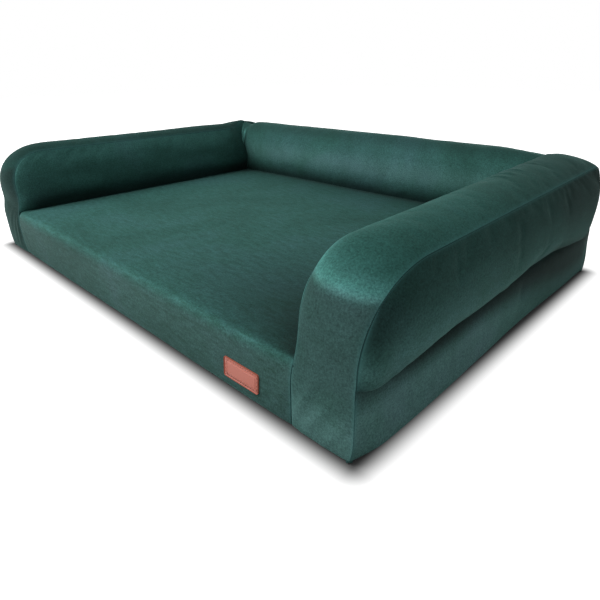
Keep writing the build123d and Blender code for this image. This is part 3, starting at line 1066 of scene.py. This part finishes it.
def base_side(side, material):
    """The mattress's side below the crease."""
    sizes = form()
    name = which(side, ("left", "right"))
    top = BASE_TOP + 4 * MM
    height = top - FLOOR_GAP
    roll = 13 * MM / height

    def place(across, up):
        across, up = crowd(across, 0.1), crowd(up, 0.35)
        y = FRONT_Y + (REAR_Y - FRONT_Y) * across
        z = FLOOR_GAP + height * up
        over = np.clip((up - 1 + roll) / roll, 0, 1)
        under = np.clip(1 - (z - FLOOR_GAP) / sizes.foot_radius, 0, 1)
        x = outer_seam(side, y, np.minimum(z, BASE_TOP - 5 * MM)) - sizes.seam_gap
        x = x + 2.5 * MM * hump(up, 3) * hump(across, 14)
        x = x + 6 * MM * bell(z, 9 * MM, 18 * MM) * hump(across, 12) * np.clip(1.15 - 1.7 * across, 0, 1)
        x = x - 2.5 * MM * bell(across, 0.56, 0.15)
        x = x - (crease_depth(across) + 5 * MM) * (1 - np.sqrt(1 - over**2))
        x = x - sizes.foot_radius * (1 - np.sqrt(1 - under**2))
        return np.column_stack([side * x, y + lean_back(True, y, z), z])

    def detail(points, normals, flat):
        rise = 0.9 * MM * waves(points, 110 * MM, 41.0 * side) + 0.3 * MM * waves(points, 30 * MM, 11.0)
        return points + normals * (rise * hump(flat[:, 0], 60) * hump(flat[:, 1], 12))[:, None]

    def shading(points, across, up):
        # Painted shade under the arm's bulge along the top, wider where the crease runs deepest, and darker
        # towards the rear. The whole side is greyed as a painted sheen, partly for the pile's direction.
        cavity = step(across, 0.35, 0.75) * (1 - step(across, 0.93, 1.0))
        dark = (0.6 + 0.4 * step(across, 0.02, 0.2)) * bell(up, 1, 0.30 + 0.26 * cavity, 4)
        rear = 0.75 * step(across, 0.5, 0.9)
        return 0.28 - 1.6 * dark - rear + 0.06 * waves(points, 80 * MM, 24.0), 0.9

    return velvet_panel(
        f"{name}_base_side_velvet", (REAR_Y - FRONT_Y, BASE_TOP), place, (side, 0, 0), material,
        [f"{name}_base_band"], shading, slack=0.001, push=0.4, most=1.2 * MM, detail=detail,
    )


class BED_OT_arms(bpy.types.Operator):
    """Both arms: boxing strip, crowned sides and the base's sides below them"""

    bl_idname = "bed.arms"
    bl_label = "Arms"

    def execute(self, context):
        materials = bpy.data.materials
        for side in (1, -1):
            arm_strip(side, materials["velvet_strip"])
            arm_side(side, True, materials["velvet_outer"])
            arm_side(side, False, materials["velvet_inner"])
            base_side(side, materials["velvet_base"])
        return {"FINISHED"}


def back_route():
    """The back bolster's section from the seat, over the top and down behind."""
    sizes = form()
    front = BACK_LOW.y + sizes.back_crown
    top = BACK_HIGH.z
    corners = [(front, BASE_TOP - 3 * MM), (front, top), (REAR_Y, top), (REAR_Y, BASE_TOP)]
    return Route(rounded_line(corners, [27 * MM, 17 * MM]))


def even_pile(points, across, up):
    """Pile that lies evenly, a little worn in patches."""
    return 0.15 * waves(points, 90 * MM, 44.0), 0.6


class BED_OT_back(bpy.types.Operator):
    """Back bolster: the front panel that rolls over the top, and the rear panel"""

    bl_idname = "bed.back"
    bl_label = "Back bolster"

    def corner_folds(self, below):
        """Foot, top and height of the left corner's folds, which end that far below the bolster's top."""
        for foot_x, foot_z, top_x, height in ((6, 100, -8, 6.0), (-1, 160, 8, 5.0)):
            foot = (foot_x * MM - SEAM_X, BACK_LOW.y + 9 * MM, foot_z * MM)
            top = (top_x * MM - SEAM_X, BACK_LOW.y + 10 * MM, BACK_HIGH.z - below)
            yield np.array(foot), np.array(top), height

    def execute(self, context):
        sizes = form()
        route = back_route()
        seam = route.share_near(REAR_Y - 20 * MM, BACK_HIGH.z)
        crest = route.share_near(BACK_LOW.y + sizes.back_crown + 27 * MM, BACK_HIGH.z)
        width = 2 * (SEAM_X - sizes.seam_gap)

        def shaped(across, walked):
            spot, out = route.at(walked), route.side(walked)
            ends = hump(across, 16)
            front = np.clip(walked / crest, 0, 1)
            behind = np.clip((walked - seam) / (1 - seam), 0, 1)
            lid = np.clip((walked - crest * 0.8) / (seam - crest * 0.8), 0, 1)
            crown = (sizes.back_crown * swell(front, 0.4, 2.6) + 3 * MM * hump(lid, 2)) * (0.25 + 0.75 * ends)
            least = 0.1 + 0.4 * step(across, 0.5, 1)
            crown += 8.5 * MM * np.sin(math.pi * behind**1.2) ** 0.8 * (least + (1 - least) * ends)
            spread = 3 * MM * step(front, 0, 0.2) * (1 - step(walked, crest * 0.85, crest))
            x = (2 * across - 1) * (width / 2 + spread)
            x = x - corner_pull(-1, spot[:, 0], spot[:, 1]) * step(1 - across, 0.85, 1)
            share = np.clip((spot[:, 1] - BASE_TOP) / (BACK_HIGH.z - BASE_TOP), 0, 1)
            right = step(x, SEAM_X - 120 * MM, SEAM_X)
            drop = 4 * MM * (1 - ends) + 6 * MM * right + 2 * MM * step(x, 80 * MM, 180 * MM)
            for side, reach in ((-1, 40 * MM), (1, 16 * MM)):
                meets = step(side * x, SEAM_X - reach, SEAM_X - 1 * MM)
                seam_top = settled_height(side, spot[:, 0], arm_height(side, False, spot[:, 0]))
                drop = drop * (1 - meets) + (BACK_HIGH.z - seam_top) * meets
            y, z = spot[:, 0] + out[:, 0] * crown, spot[:, 1] + out[:, 1] * crown - drop * share
            return np.column_stack([x, y, z])

        def detail(points, normals, flat):
            rise = 1.1 * MM * waves(points, 130 * MM, 55.0) + 0.4 * MM * waves(points, 40 * MM, 15.0)
            rise = rise * hump(flat[:, 0], 80) * hump(flat[:, 1], 20)
            for foot, top, height in self.corner_folds(10 * MM):
                rise += fold(points, foot, top, 5 * MM, height * MM)
            points = points + normals * rise[:, None]
            points[:, 2] += ear(points)
            return points

        def shading(points, across, up):
            # Painted light and shade: a lighter band across the middle, darker at the foot and over the top
            # roll, a dark line in the left corner where the arm meets it, and painted highlights along the
            # corner's folds with painted shade beside them. The middle band is greyed as a painted sheen.
            face = np.clip((points[:, 2] - BASE_TOP) / (BACK_HIGH.z - BASE_TOP), 0, 1)
            nap = 0.42 * bell(face, 0.5, 0.24) - 1.1 * bell(face, 0, 0.2)
            nap -= 0.5 * step(face, 0.78, 0.97)
            inset = points[:, 0] + SEAM_X + corner_pull(-1, points[:, 1], points[:, 2]) + 3 * MM
            nap -= 0.9 * bell(inset, 0, 3 * MM)
            nap += 0.12 * waves(points * np.array([1, 1, 0.4]), 70 * MM, 34.0) * bell(face, 0.5, 0.4)
            flat = points * [1, 0, 1]
            for foot, top, height in self.corner_folds(14 * MM):
                foot, top = foot * [1, 0, 1], top * [1, 0, 1]
                nap += fold(flat, foot, top, 3.5 * MM, height * 0.3) * step(up, 0, 0.1)
                beside = [7 * MM, 0, 0]
                nap -= fold(flat, foot + beside, top + beside, 3.5 * MM, height * 0.12)
            return nap, 0.55 * bell(face, 0.45, 0.3)

        def away(points):
            return (points - np.array([0, (BACK_LOW.y + REAR_Y) / 2, 120 * MM])) * np.array([0, 1, 1])

        def front_place(across, up):
            return shaped(crowd(across, 0.65), crowd(up, 0.12) * (seam - 0.0005))

        def rear_place(across, up):
            return shaped(crowd(across, 0.2), seam + 0.0005 + crowd(up, 0.12) * (0.9995 - seam))

        def rear_detail(points, normals, flat):
            rise = 0.9 * MM * waves(points, 100 * MM, 61.0) * hump(flat[:, 0], 60) * hump(flat[:, 1], 16)
            return points + normals * rise[:, None]

        velvet_panel(
            "back_front_velvet", (width, route.length * seam), front_place, away,
            bpy.data.materials["velvet_back"], ["back_bolster_front_panel"], shading, detail=detail,
        )
        velvet_panel(
            "back_rear_velvet", (width, route.length * (1 - seam)), rear_place, away,
            bpy.data.materials["velvet_base"], ["back_bolster_rear_panel"], even_pile, detail=rear_detail,
        )
        return {"FINISHED"}


class BED_OT_rear_band(bpy.types.Operator):
    """The mattress's rear band in two strips, with the tabs that close the zip's ends"""

    bl_idname = "bed.rear_band"
    bl_label = "Rear band"

    def execute(self, context):
        material = bpy.data.materials["velvet_base"]
        gap = form().seam_gap
        for band in ("rear_band_lower", "rear_band_upper"):
            low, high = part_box(band)

            def place(across, up, low=low, high=high):
                x = low.x + gap + (high.x - low.x - 2 * gap) * crowd(across, 0.1)
                z = low.z + (high.z - low.z) * crowd(up, 0.3)
                return np.column_stack([x, high.y - 0.5 * MM * (1 - hump(up, 6)), z])

            velvet_panel(
                f"{band}_velvet", (high.x - low.x, high.z - low.z), place, (0, 1, 0), material, [band],
                even_pile, slack=0.002, push=0.2, most=0.8 * MM,
            )
        low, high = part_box("zip_end_tabs")
        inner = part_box("zip_tape_upper")[1].x
        tabs = []
        for side in (1, -1):

            def place(across, up, side=side):
                x = inner + (high.x - gap - inner) * across
                z = low.z + (high.z - low.z) * up
                return np.column_stack([side * x, np.full_like(x, high.y - 0.3 * MM), z])

            tab, _ = grid(f"zip_tab_{side}", 6, 6, place)
            face_outward(tab, (0, 1, 0))
            hem(tab)
            tabs.append(tab)
        only(tabs[0])
        tabs[1].select_set(True)
        bpy.ops.object.join()
        tabs[0].name = "zip_end_tabs_velvet"
        dress(tabs[0], material, "velvet", "zip_end_tabs")
        return {"FINISHED"}


class BED_OT_underside(bpy.types.Operator):
    """Non-slip cloth that the bed stands on"""

    bl_idname = "bed.underside"
    bl_label = "Underside"

    def execute(self, context):
        low, high = UNDER_LOW, UNDER_HIGH
        thick = high.z - low.z
        margin = form().foot_radius + 1 * MM

        def place(across, up):
            x = low.x + margin + (high.x - low.x - 2 * margin) * across
            y = low.y + margin + (high.y - low.y - 2 * margin) * up
            return np.column_stack([x, y, np.zeros_like(x)])

        obj, _ = grid("underside_cloth_sheet", 60, 42, place)
        face_outward(obj, (0, 0, -1))
        use(obj, "SOLIDIFY", thickness=thick * 0.9, offset=-1)
        dress(obj, bpy.data.materials["underside_cloth"], "underside_cloth", "bottom_panel")
        return {"FINISHED"}


class BED_OT_fillings(bpy.types.Operator):
    """Foam blocks and the lining round the mattress"""

    bl_idname = "bed.fillings"
    bl_label = "Fillings"
    cell, clearance = 9 * MM, 3 * MM

    def execute(self, context):
        fillings = (
            ("base_foam_core", "base_foam_block", "foam"),
            ("memory_foam_top", "memory_foam_layer", "memory_foam"),
            ("left_arm_foam", "left_arm_foam_block", "foam"),
            ("right_arm_foam", "right_arm_foam_block", "foam"),
            ("back_bolster_foam", "back_foam_block", "foam"),
            ("mattress_liner", "lining_bag", "lining"),
        )
        for source, name, finish_name in fillings:
            only(frame["nodes"][source])
            bpy.ops.object.duplicate()
            obj = bpy.context.object
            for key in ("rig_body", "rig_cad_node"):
                if key in obj:
                    del obj[key]
            obj.parent = None
            obj.name = name
            obj.data.name = name
            use(obj, "WELD", merge_threshold=0.01 * MM)
            if source != "mattress_liner":
                use(obj, "REMESH", mode="VOXEL", voxel_size=self.cell)
                only(obj)
                bpy.ops.object.mode_set(mode="EDIT")
                bpy.ops.mesh.select_all(action="SELECT")
                bpy.ops.transform.shrink_fatten(value=-self.clearance)
                bpy.ops.object.mode_set(mode="OBJECT")
                bpy.ops.object.shade_smooth()
            if "arm" in source:
                self.fit_arm(obj, 1 if "right" in source else -1)
            else:
                self.fit_mattress(obj)
            dress(obj, bpy.data.materials[finish_name], finish_name, source)
        return {"FINISHED"}

    def fit_mattress(self, obj):
        """Keep a filling clear of the rolled edges of its cover."""
        x, y, z = points_of(obj).T
        foot = bell(z, 0, 20 * MM) * (1 - step(y, FRONT_Y + 20 * MM, FRONT_Y + 70 * MM))
        widest = SIDE_X - 10 * MM - 12 * MM * foot
        x = np.clip(x, -widest, widest)
        pulled = lean_back(False, FRONT_Y, z) * step(np.abs(x), SEAM_X - 60 * MM, SEAM_X)
        set_points(obj, np.column_stack([x, np.maximum(y, FRONT_Y + 7 * MM + pulled), z]))

    def fit_arm(self, obj, side):
        """Keep an arm's foam inside its cover, which draws in at the rear."""
        x, y, z = points_of(obj).T
        x = np.abs(x)
        inside = outer_seam(side, y, z) - 6 * MM - 13 * MM * bell(z, BASE_TOP, 11 * MM)
        pull = corner_pull(side, y, z) + 3 * MM * step(corner_pull(side, y, z), 0, 3 * MM)
        x = x + pull * np.clip((SIDE_X - x) / (SIDE_X - SEAM_X), 0, 1)
        lean = 0.3 * step(z, 60 * MM, 100 * MM) + 0.7 * step(z, 100 * MM, 190 * MM)
        lean = lean * np.exp(-(y - FRONT_Y) / (100 * MM))
        share = np.clip((x - SEAM_X) / (SIDE_X - SEAM_X), 0, 1)
        roof = arm_height(side, False, y) * (1 - share) + arm_height(side, True, y) * share
        roof = roof + form().top_crown * hump(share, 2) * crown_left(side, y) - 9 * MM
        lowered = BASE_TOP + (z - BASE_TOP) * np.minimum(1, (roof - BASE_TOP) / (z.max() - BASE_TOP))
        y = y + 40 * MM * lean
        z = np.where(z > BASE_TOP, settled_height(side, y, lowered), z)
        set_points(obj, np.column_stack([side * np.minimum(x, inside), y, z]))


class BED_OT_label(bpy.types.Operator):
    """Plain leather tag with a pressed border and its row of stitches"""

    bl_idname = "bed.label"
    bl_label = "Label"
    corner, edge = 2.4 * MM, 0.35 * MM
    # Steps in from the edge of the tag's face, in millimetres: how wide each is and how far it sinks
    steps = ((0.5, 0.0), (3.9, 0.0), (0.35, 0.25), (0.5, 0.0), (0.35, -0.25))
    stitch_size = np.array([2.7, 0.75, 0.7]) * MM
    stitches_across, stitches_up = 13, 4

    def execute(self, context):
        low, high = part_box("label")
        middle = (low + high) / 2
        clear_selection()
        bpy.ops.mesh.primitive_cube_add(size=1)
        tag = context.object
        tag.name = "label_leather_tag"
        set_points(tag, points_of(tag) * (np.array(high) - np.array(low)) + np.array(middle))
        only(tag)
        bpy.ops.object.mode_set(mode="EDIT")
        bpy.ops.mesh.select_all(action="DESELECT")
        bpy.ops.object.mode_set(mode="OBJECT")
        for edge in tag.data.edges:
            a, b = (tag.data.vertices[i].co for i in edge.vertices)
            edge.select = abs(a.y - b.y) > 0.5 * MM
        bpy.ops.object.mode_set(mode="EDIT")
        bpy.ops.mesh.bevel(offset=self.corner, segments=5, affect="EDGES")
        bpy.ops.mesh.select_all(action="DESELECT")
        bpy.ops.object.mode_set(mode="OBJECT")
        for face in tag.data.polygons:
            face.select = face.normal.y < -0.9
        bpy.ops.object.mode_set(mode="EDIT")
        for wide, depth in self.steps:
            bpy.ops.mesh.inset(thickness=wide * MM, depth=-depth * MM)
        bpy.ops.object.mode_set(mode="OBJECT")
        use(tag, "BEVEL", width=self.edge, segments=3, limit_method="ANGLE", angle_limit=math.radians(60))
        self.lay_on_seat(tag)
        only(tag)
        bpy.ops.object.shade_smooth_by_angle(angle=math.radians(40))
        dress(tag, bpy.data.materials["label_leather"], "label_leather", "label")
        self.stitch(low.y)
        return {"FINISHED"}

    def lay_on_seat(self, obj):
        """Bring a piece forward to the velvet that it is sewn on."""
        seat = bpy.data.objects["seat_and_front_velvet"]
        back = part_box("label")[1].y
        points = points_of(obj)
        for point in points:
            found, place, _, _ = seat.ray_cast((point[0], FRONT_Y - 40 * MM, point[2]), (0, 1, 0))
            if found:
                point[1] += min(0, place.y - back + 0.3 * MM)
        set_points(obj, points)

    def stitch(self, face):
        """One stitch copied round the tag's border."""
        first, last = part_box("label_stitching")
        clear_selection()
        bpy.ops.mesh.primitive_uv_sphere_add(segments=8, ring_count=8, radius=0.5)
        seed = bpy.context.object
        shape = points_of(seed)
        faces = [tuple(polygon.vertices) for polygon in seed.data.polygons]
        inset = 0.3 * MM
        spots = []
        for i in range(self.stitches_across):
            x = first.x + (last.x - first.x) * (i + 0.5) / self.stitches_across
            spots += [(x, first.z + inset, 0), (x, last.z - inset, 0)]
        for i in range(self.stitches_up):
            z = first.z + (last.z - first.z) * (i + 0.5) / self.stitches_up
            spots += [(first.x + inset, z, 1), (last.x - inset, z, 1)]
        points, polygons = [], []
        for x, z, upright in spots:
            scaled = shape * (self.stitch_size[::-1] if upright else self.stitch_size)
            first_point = len(points) * len(shape)
            polygons += [tuple(first_point + i for i in corners) for corners in faces]
            points.append(scaled + np.array([x, face, z]))
        mesh = bpy.data.meshes.new("label_thread")
        mesh.from_pydata(np.concatenate(points).tolist(), [], polygons)
        old = seed.data
        seed.data = mesh
        bpy.data.meshes.remove(old)
        seed.name = "label_thread"
        self.lay_on_seat(seed)
        only(seed)
        bpy.ops.object.shade_smooth()
        dress(seed, bpy.data.materials["label_thread"], "label_thread", "label_stitching")


class BED_OT_zip(bpy.types.Operator):
    """Woven tapes, and the finish of the teeth, stops, slider and pull"""

    bl_idname = "bed.zip"
    bl_label = "Zip"

    def execute(self, context):
        for name in ("zip_tape_upper", "zip_tape_lower"):
            low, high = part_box(name)

            def place(across, up, low=low, high=high):
                x = low.x + (high.x - low.x) * across
                z = low.z + (high.z - low.z) * up
                return np.column_stack([x, np.full_like(x, high.y) - 0.02 * MM * np.abs(up - 0.5), z])

            obj, _ = grid(name + "_woven", 160, 4, place)
            face_outward(obj, (0, 1, 0))
            use(obj, "SOLIDIFY", thickness=high.y - low.y, offset=-1)
            dress(obj, bpy.data.materials["zip_cloth"], "zip_cloth", name)
        finishes = {
            "zip_teeth_upper": "zip_nylon", "zip_teeth_lower": "zip_nylon", "zip_stops": "zip_metal",
            "zip_slider": "zip_metal", "zip_pull": "zip_metal",
        }
        for name, material in finishes.items():
            piece = frame["nodes"][name]
            piece.data.materials.clear()
            piece.data.materials.append(bpy.data.materials[material])
        return {"FINISHED"}


class BED_OT_materials(bpy.types.Operator):
    """All finishes"""

    bl_idname = "bed.materials"
    bl_label = "Finishes"

    def execute(self, context):
        colours = palette()
        # Each panel's shade and nap are partly painted light and shade for how the lamps fall on that side:
        # the arm sides darker, and the back bolster and base sides lighter, besides the pile's own direction.
        velvet("velvet_seat", 1.02, 0.0, (45, 160), math.radians(45), 0.36)
        velvet("velvet_strip", 0.98, 0.0, (60, 24), gloss=0.07)
        velvet("velvet_outer", 0.82, -0.4, (24, 60), sheen=0.12, gloss=0.05)
        velvet("velvet_inner", 0.86, -0.2, (24, 60))
        velvet("velvet_back", 1.0, 0.3, (34, 20))
        velvet("velvet_base", 1.07, 0.0, (40, 20), sheen=0.13, gloss=0.05)
        plain_cloth("underside_cloth", colours.underside, 140.0)
        plain_cloth("lining", colours.lining, 220.0)
        plain_cloth("zip_cloth", colours.zip_paint, 420.0)
        foam_material("foam", colours.foam)
        foam_material("memory_foam", colours.memory)
        leather_material("label_leather", colours.leather)
        plain_cloth("label_thread", colours.thread, 900.0)
        hard_material("zip_nylon", colours.zip_paint, 0.45, 0.0)
        hard_material("zip_metal", colours.zip_paint, 0.35, 0.6)
        return {"FINISHED"}


class BED_OT_stage(bpy.types.Operator):
    """Pale floor, soft studio light and the camera"""

    bl_idname = "bed.stage"
    bl_label = "Stage"
    floor_size, shadow_reach, glow_reach = 14, 0.1, 0.034

    def execute(self, context):
        self.floor()
        self.lights()
        self.camera()
        self.sky()
        context.scene.view_settings.view_transform = "Standard"
        return {"FINISHED"}

    def floor(self):
        """A wide white floor that keeps the bed's shadow, with a contact shadow painted into its colour close
        to the bed.
        """
        clear_selection()
        bpy.ops.mesh.primitive_plane_add(size=self.floor_size, location=(0, 0, 0))
        floor = bpy.context.object
        floor.name = "studio_floor"
        material, tree, shader = new_material("studio_floor")
        shader.inputs["Roughness"].default_value = 0.9
        shader.inputs["Specular IOR Level"].default_value = 0.0
        shader.inputs["Emission Color"].default_value = (1, 1, 1, 1)
        link = tree.links.new
        middle = (0, -(FRONT_Y + REAR_Y) / 2, 0)
        half = (SIDE_X - 3 * MM, (REAR_Y - FRONT_Y) / 2 - 3 * MM, 0)
        source = node(tree, "ShaderNodeTexCoord").outputs["Object"]
        for operation, value in (
            ("ADD", middle), ("ABSOLUTE", None), ("SUBTRACT", half), ("MAXIMUM", None), ("LENGTH", None),
        ):
            reach = node(tree, "ShaderNodeVectorMath", operation=operation)
            if value:
                reach.inputs[1].default_value = value
            link(source, reach.inputs[0])
            source = reach.outputs[0]
        # Painted contact shadow: the floor's colour is darker close to the bed's footprint and turns pale at
        # the shadow's reach.
        near = node(tree, "ShaderNodeMapRange", {"From Max": self.shadow_reach})
        link(reach.outputs["Value"], near.inputs["Value"])
        stops = [(0.0, 0.10), (0.1, 0.14), (0.25, 0.15), (0.5, 0.4), (0.8, 0.84)]
        tint = ramp(tree, near.outputs["Result"], [(stop, grey(shade)) for stop, shade in stops])
        link(tint, shader.inputs["Base Color"])
        far = node(
            tree, "ShaderNodeMapRange", {"From Max": self.glow_reach}, interpolation_type="SMOOTHSTEP"
        )
        link(reach.outputs["Value"], far.inputs["Value"])
        glow = node(tree, "ShaderNodeMath", operation="MULTIPLY")
        link(far.outputs["Result"], glow.inputs[0])
        link(seen_rays(tree), glow.inputs[1])
        link(glow.outputs[0], shader.inputs["Emission Strength"])
        floor.data.materials.append(material)

    def lights(self):
        """A broad key from above on the left, and a weak fill from the right."""
        stage = bpy.context.scene.bed_stage
        for name, place, size, power in (
            ("key", (-1.2, -1.9, 1.9), 1.6, stage.key_power),
            ("fill", (1.7, -1.9, 1.3), 1.8, stage.fill_power),
        ):
            clear_selection()
            bpy.ops.object.light_add(type="AREA", location=place)
            lamp = bpy.context.object
            lamp.name = name
            lamp.data.shape = "SQUARE"
            lamp.data.size = size
            lamp.data.energy = power
            lamp.rotation_euler = (-Vector(place)).to_track_quat("-Z", "Y").to_euler()

    def camera(self):
        """The photograph's eye."""
        stage = bpy.context.scene.bed_stage
        turn, tilt, roll = stage.turn, stage.tilt, stage.roll
        ahead = Vector((math.sin(turn) * math.cos(tilt), math.cos(turn) * math.cos(tilt), -math.sin(tilt)))
        level = Vector((math.cos(turn), -math.sin(turn), 0))
        upward = level.cross(ahead)
        right = math.cos(roll) * level + math.sin(roll) * upward
        up = -math.sin(roll) * level + math.cos(roll) * upward
        clear_selection()
        bpy.ops.object.camera_add(location=stage.eye)
        camera = bpy.context.object
        camera.name = "eye"
        camera.rotation_euler = Matrix((right, up, -ahead)).transposed().to_euler()
        camera.data.lens = stage.lens
        camera.data.shift_x, camera.data.shift_y = stage.shift
        camera.data.clip_start = 0.02
        camera.data.clip_end = 60
        bpy.context.scene.camera = camera

    def sky(self):
        """White to the camera, and a soft even light to everything else."""
        world = bpy.data.worlds.new("studio")
        bpy.context.scene.world = world
        world.use_nodes = True
        tree = world.node_tree
        background = tree.nodes["Background"]
        background.inputs["Color"].default_value = (1, 1, 1, 1)
        background.inputs["Strength"].default_value = bpy.context.scene.bed_stage.sky
        seen = node(tree, "ShaderNodeBackground", {"Color": (1, 1, 1, 1), "Strength": 1.0})
        straight = node(tree, "ShaderNodeMixShader")
        tree.links.new(seen_rays(tree), straight.inputs[0])
        tree.links.new(background.outputs[0], straight.inputs[1])
        tree.links.new(seen.outputs[0], straight.inputs[2])
        tree.links.new(straight.outputs[0], tree.nodes["World Output"].inputs["Surface"])


class BED_PT_panel(bpy.types.Panel):
    """Steps that build the bed"""

    bl_idname = "BED_PT_panel"
    bl_label = "Dog Bed"
    bl_space_type = "VIEW_3D"
    bl_region_type = "UI"
    bl_category = "Dog Bed"

    def draw(self, context):
        for operator in STEPS:
            self.layout.operator(operator.bl_idname)
        for group in ("bed_form", "bed_finish", "bed_stage"):
            settings = getattr(context.scene, group)
            for name in settings.bl_rna.properties.keys():
                if name not in ("rna_type", "name"):
                    self.layout.prop(settings, name)


STEPS = (
    BED_OT_materials, BED_OT_stage, BED_OT_seat, BED_OT_arms, BED_OT_back, BED_OT_rear_band,
    BED_OT_underside, BED_OT_fillings, BED_OT_label, BED_OT_zip,
)
GROUPS = {"bed_form": BedForm, "bed_finish": BedFinish, "bed_stage": BedStage}


def register():
    """Add the settings, the steps and the panel."""
    for name, group in GROUPS.items():
        bpy.utils.register_class(group)
        setattr(bpy.types.Scene, name, bpy.props.PointerProperty(type=group))
    for kind in (*STEPS, BED_PT_panel):
        bpy.utils.register_class(kind)


def unregister():
    """Take them away again."""
    for kind in (BED_PT_panel, *reversed(STEPS)):
        bpy.utils.unregister_class(kind)
    for name, group in GROUPS.items():
        delattr(bpy.types.Scene, name)
        bpy.utils.unregister_class(group)


def main():
    """Run every step in order."""
    register()
    for operator in STEPS:
        group, name = operator.bl_idname.split(".")
        getattr(getattr(bpy.ops, group), name)()


if __name__ == "__main__":
    main()
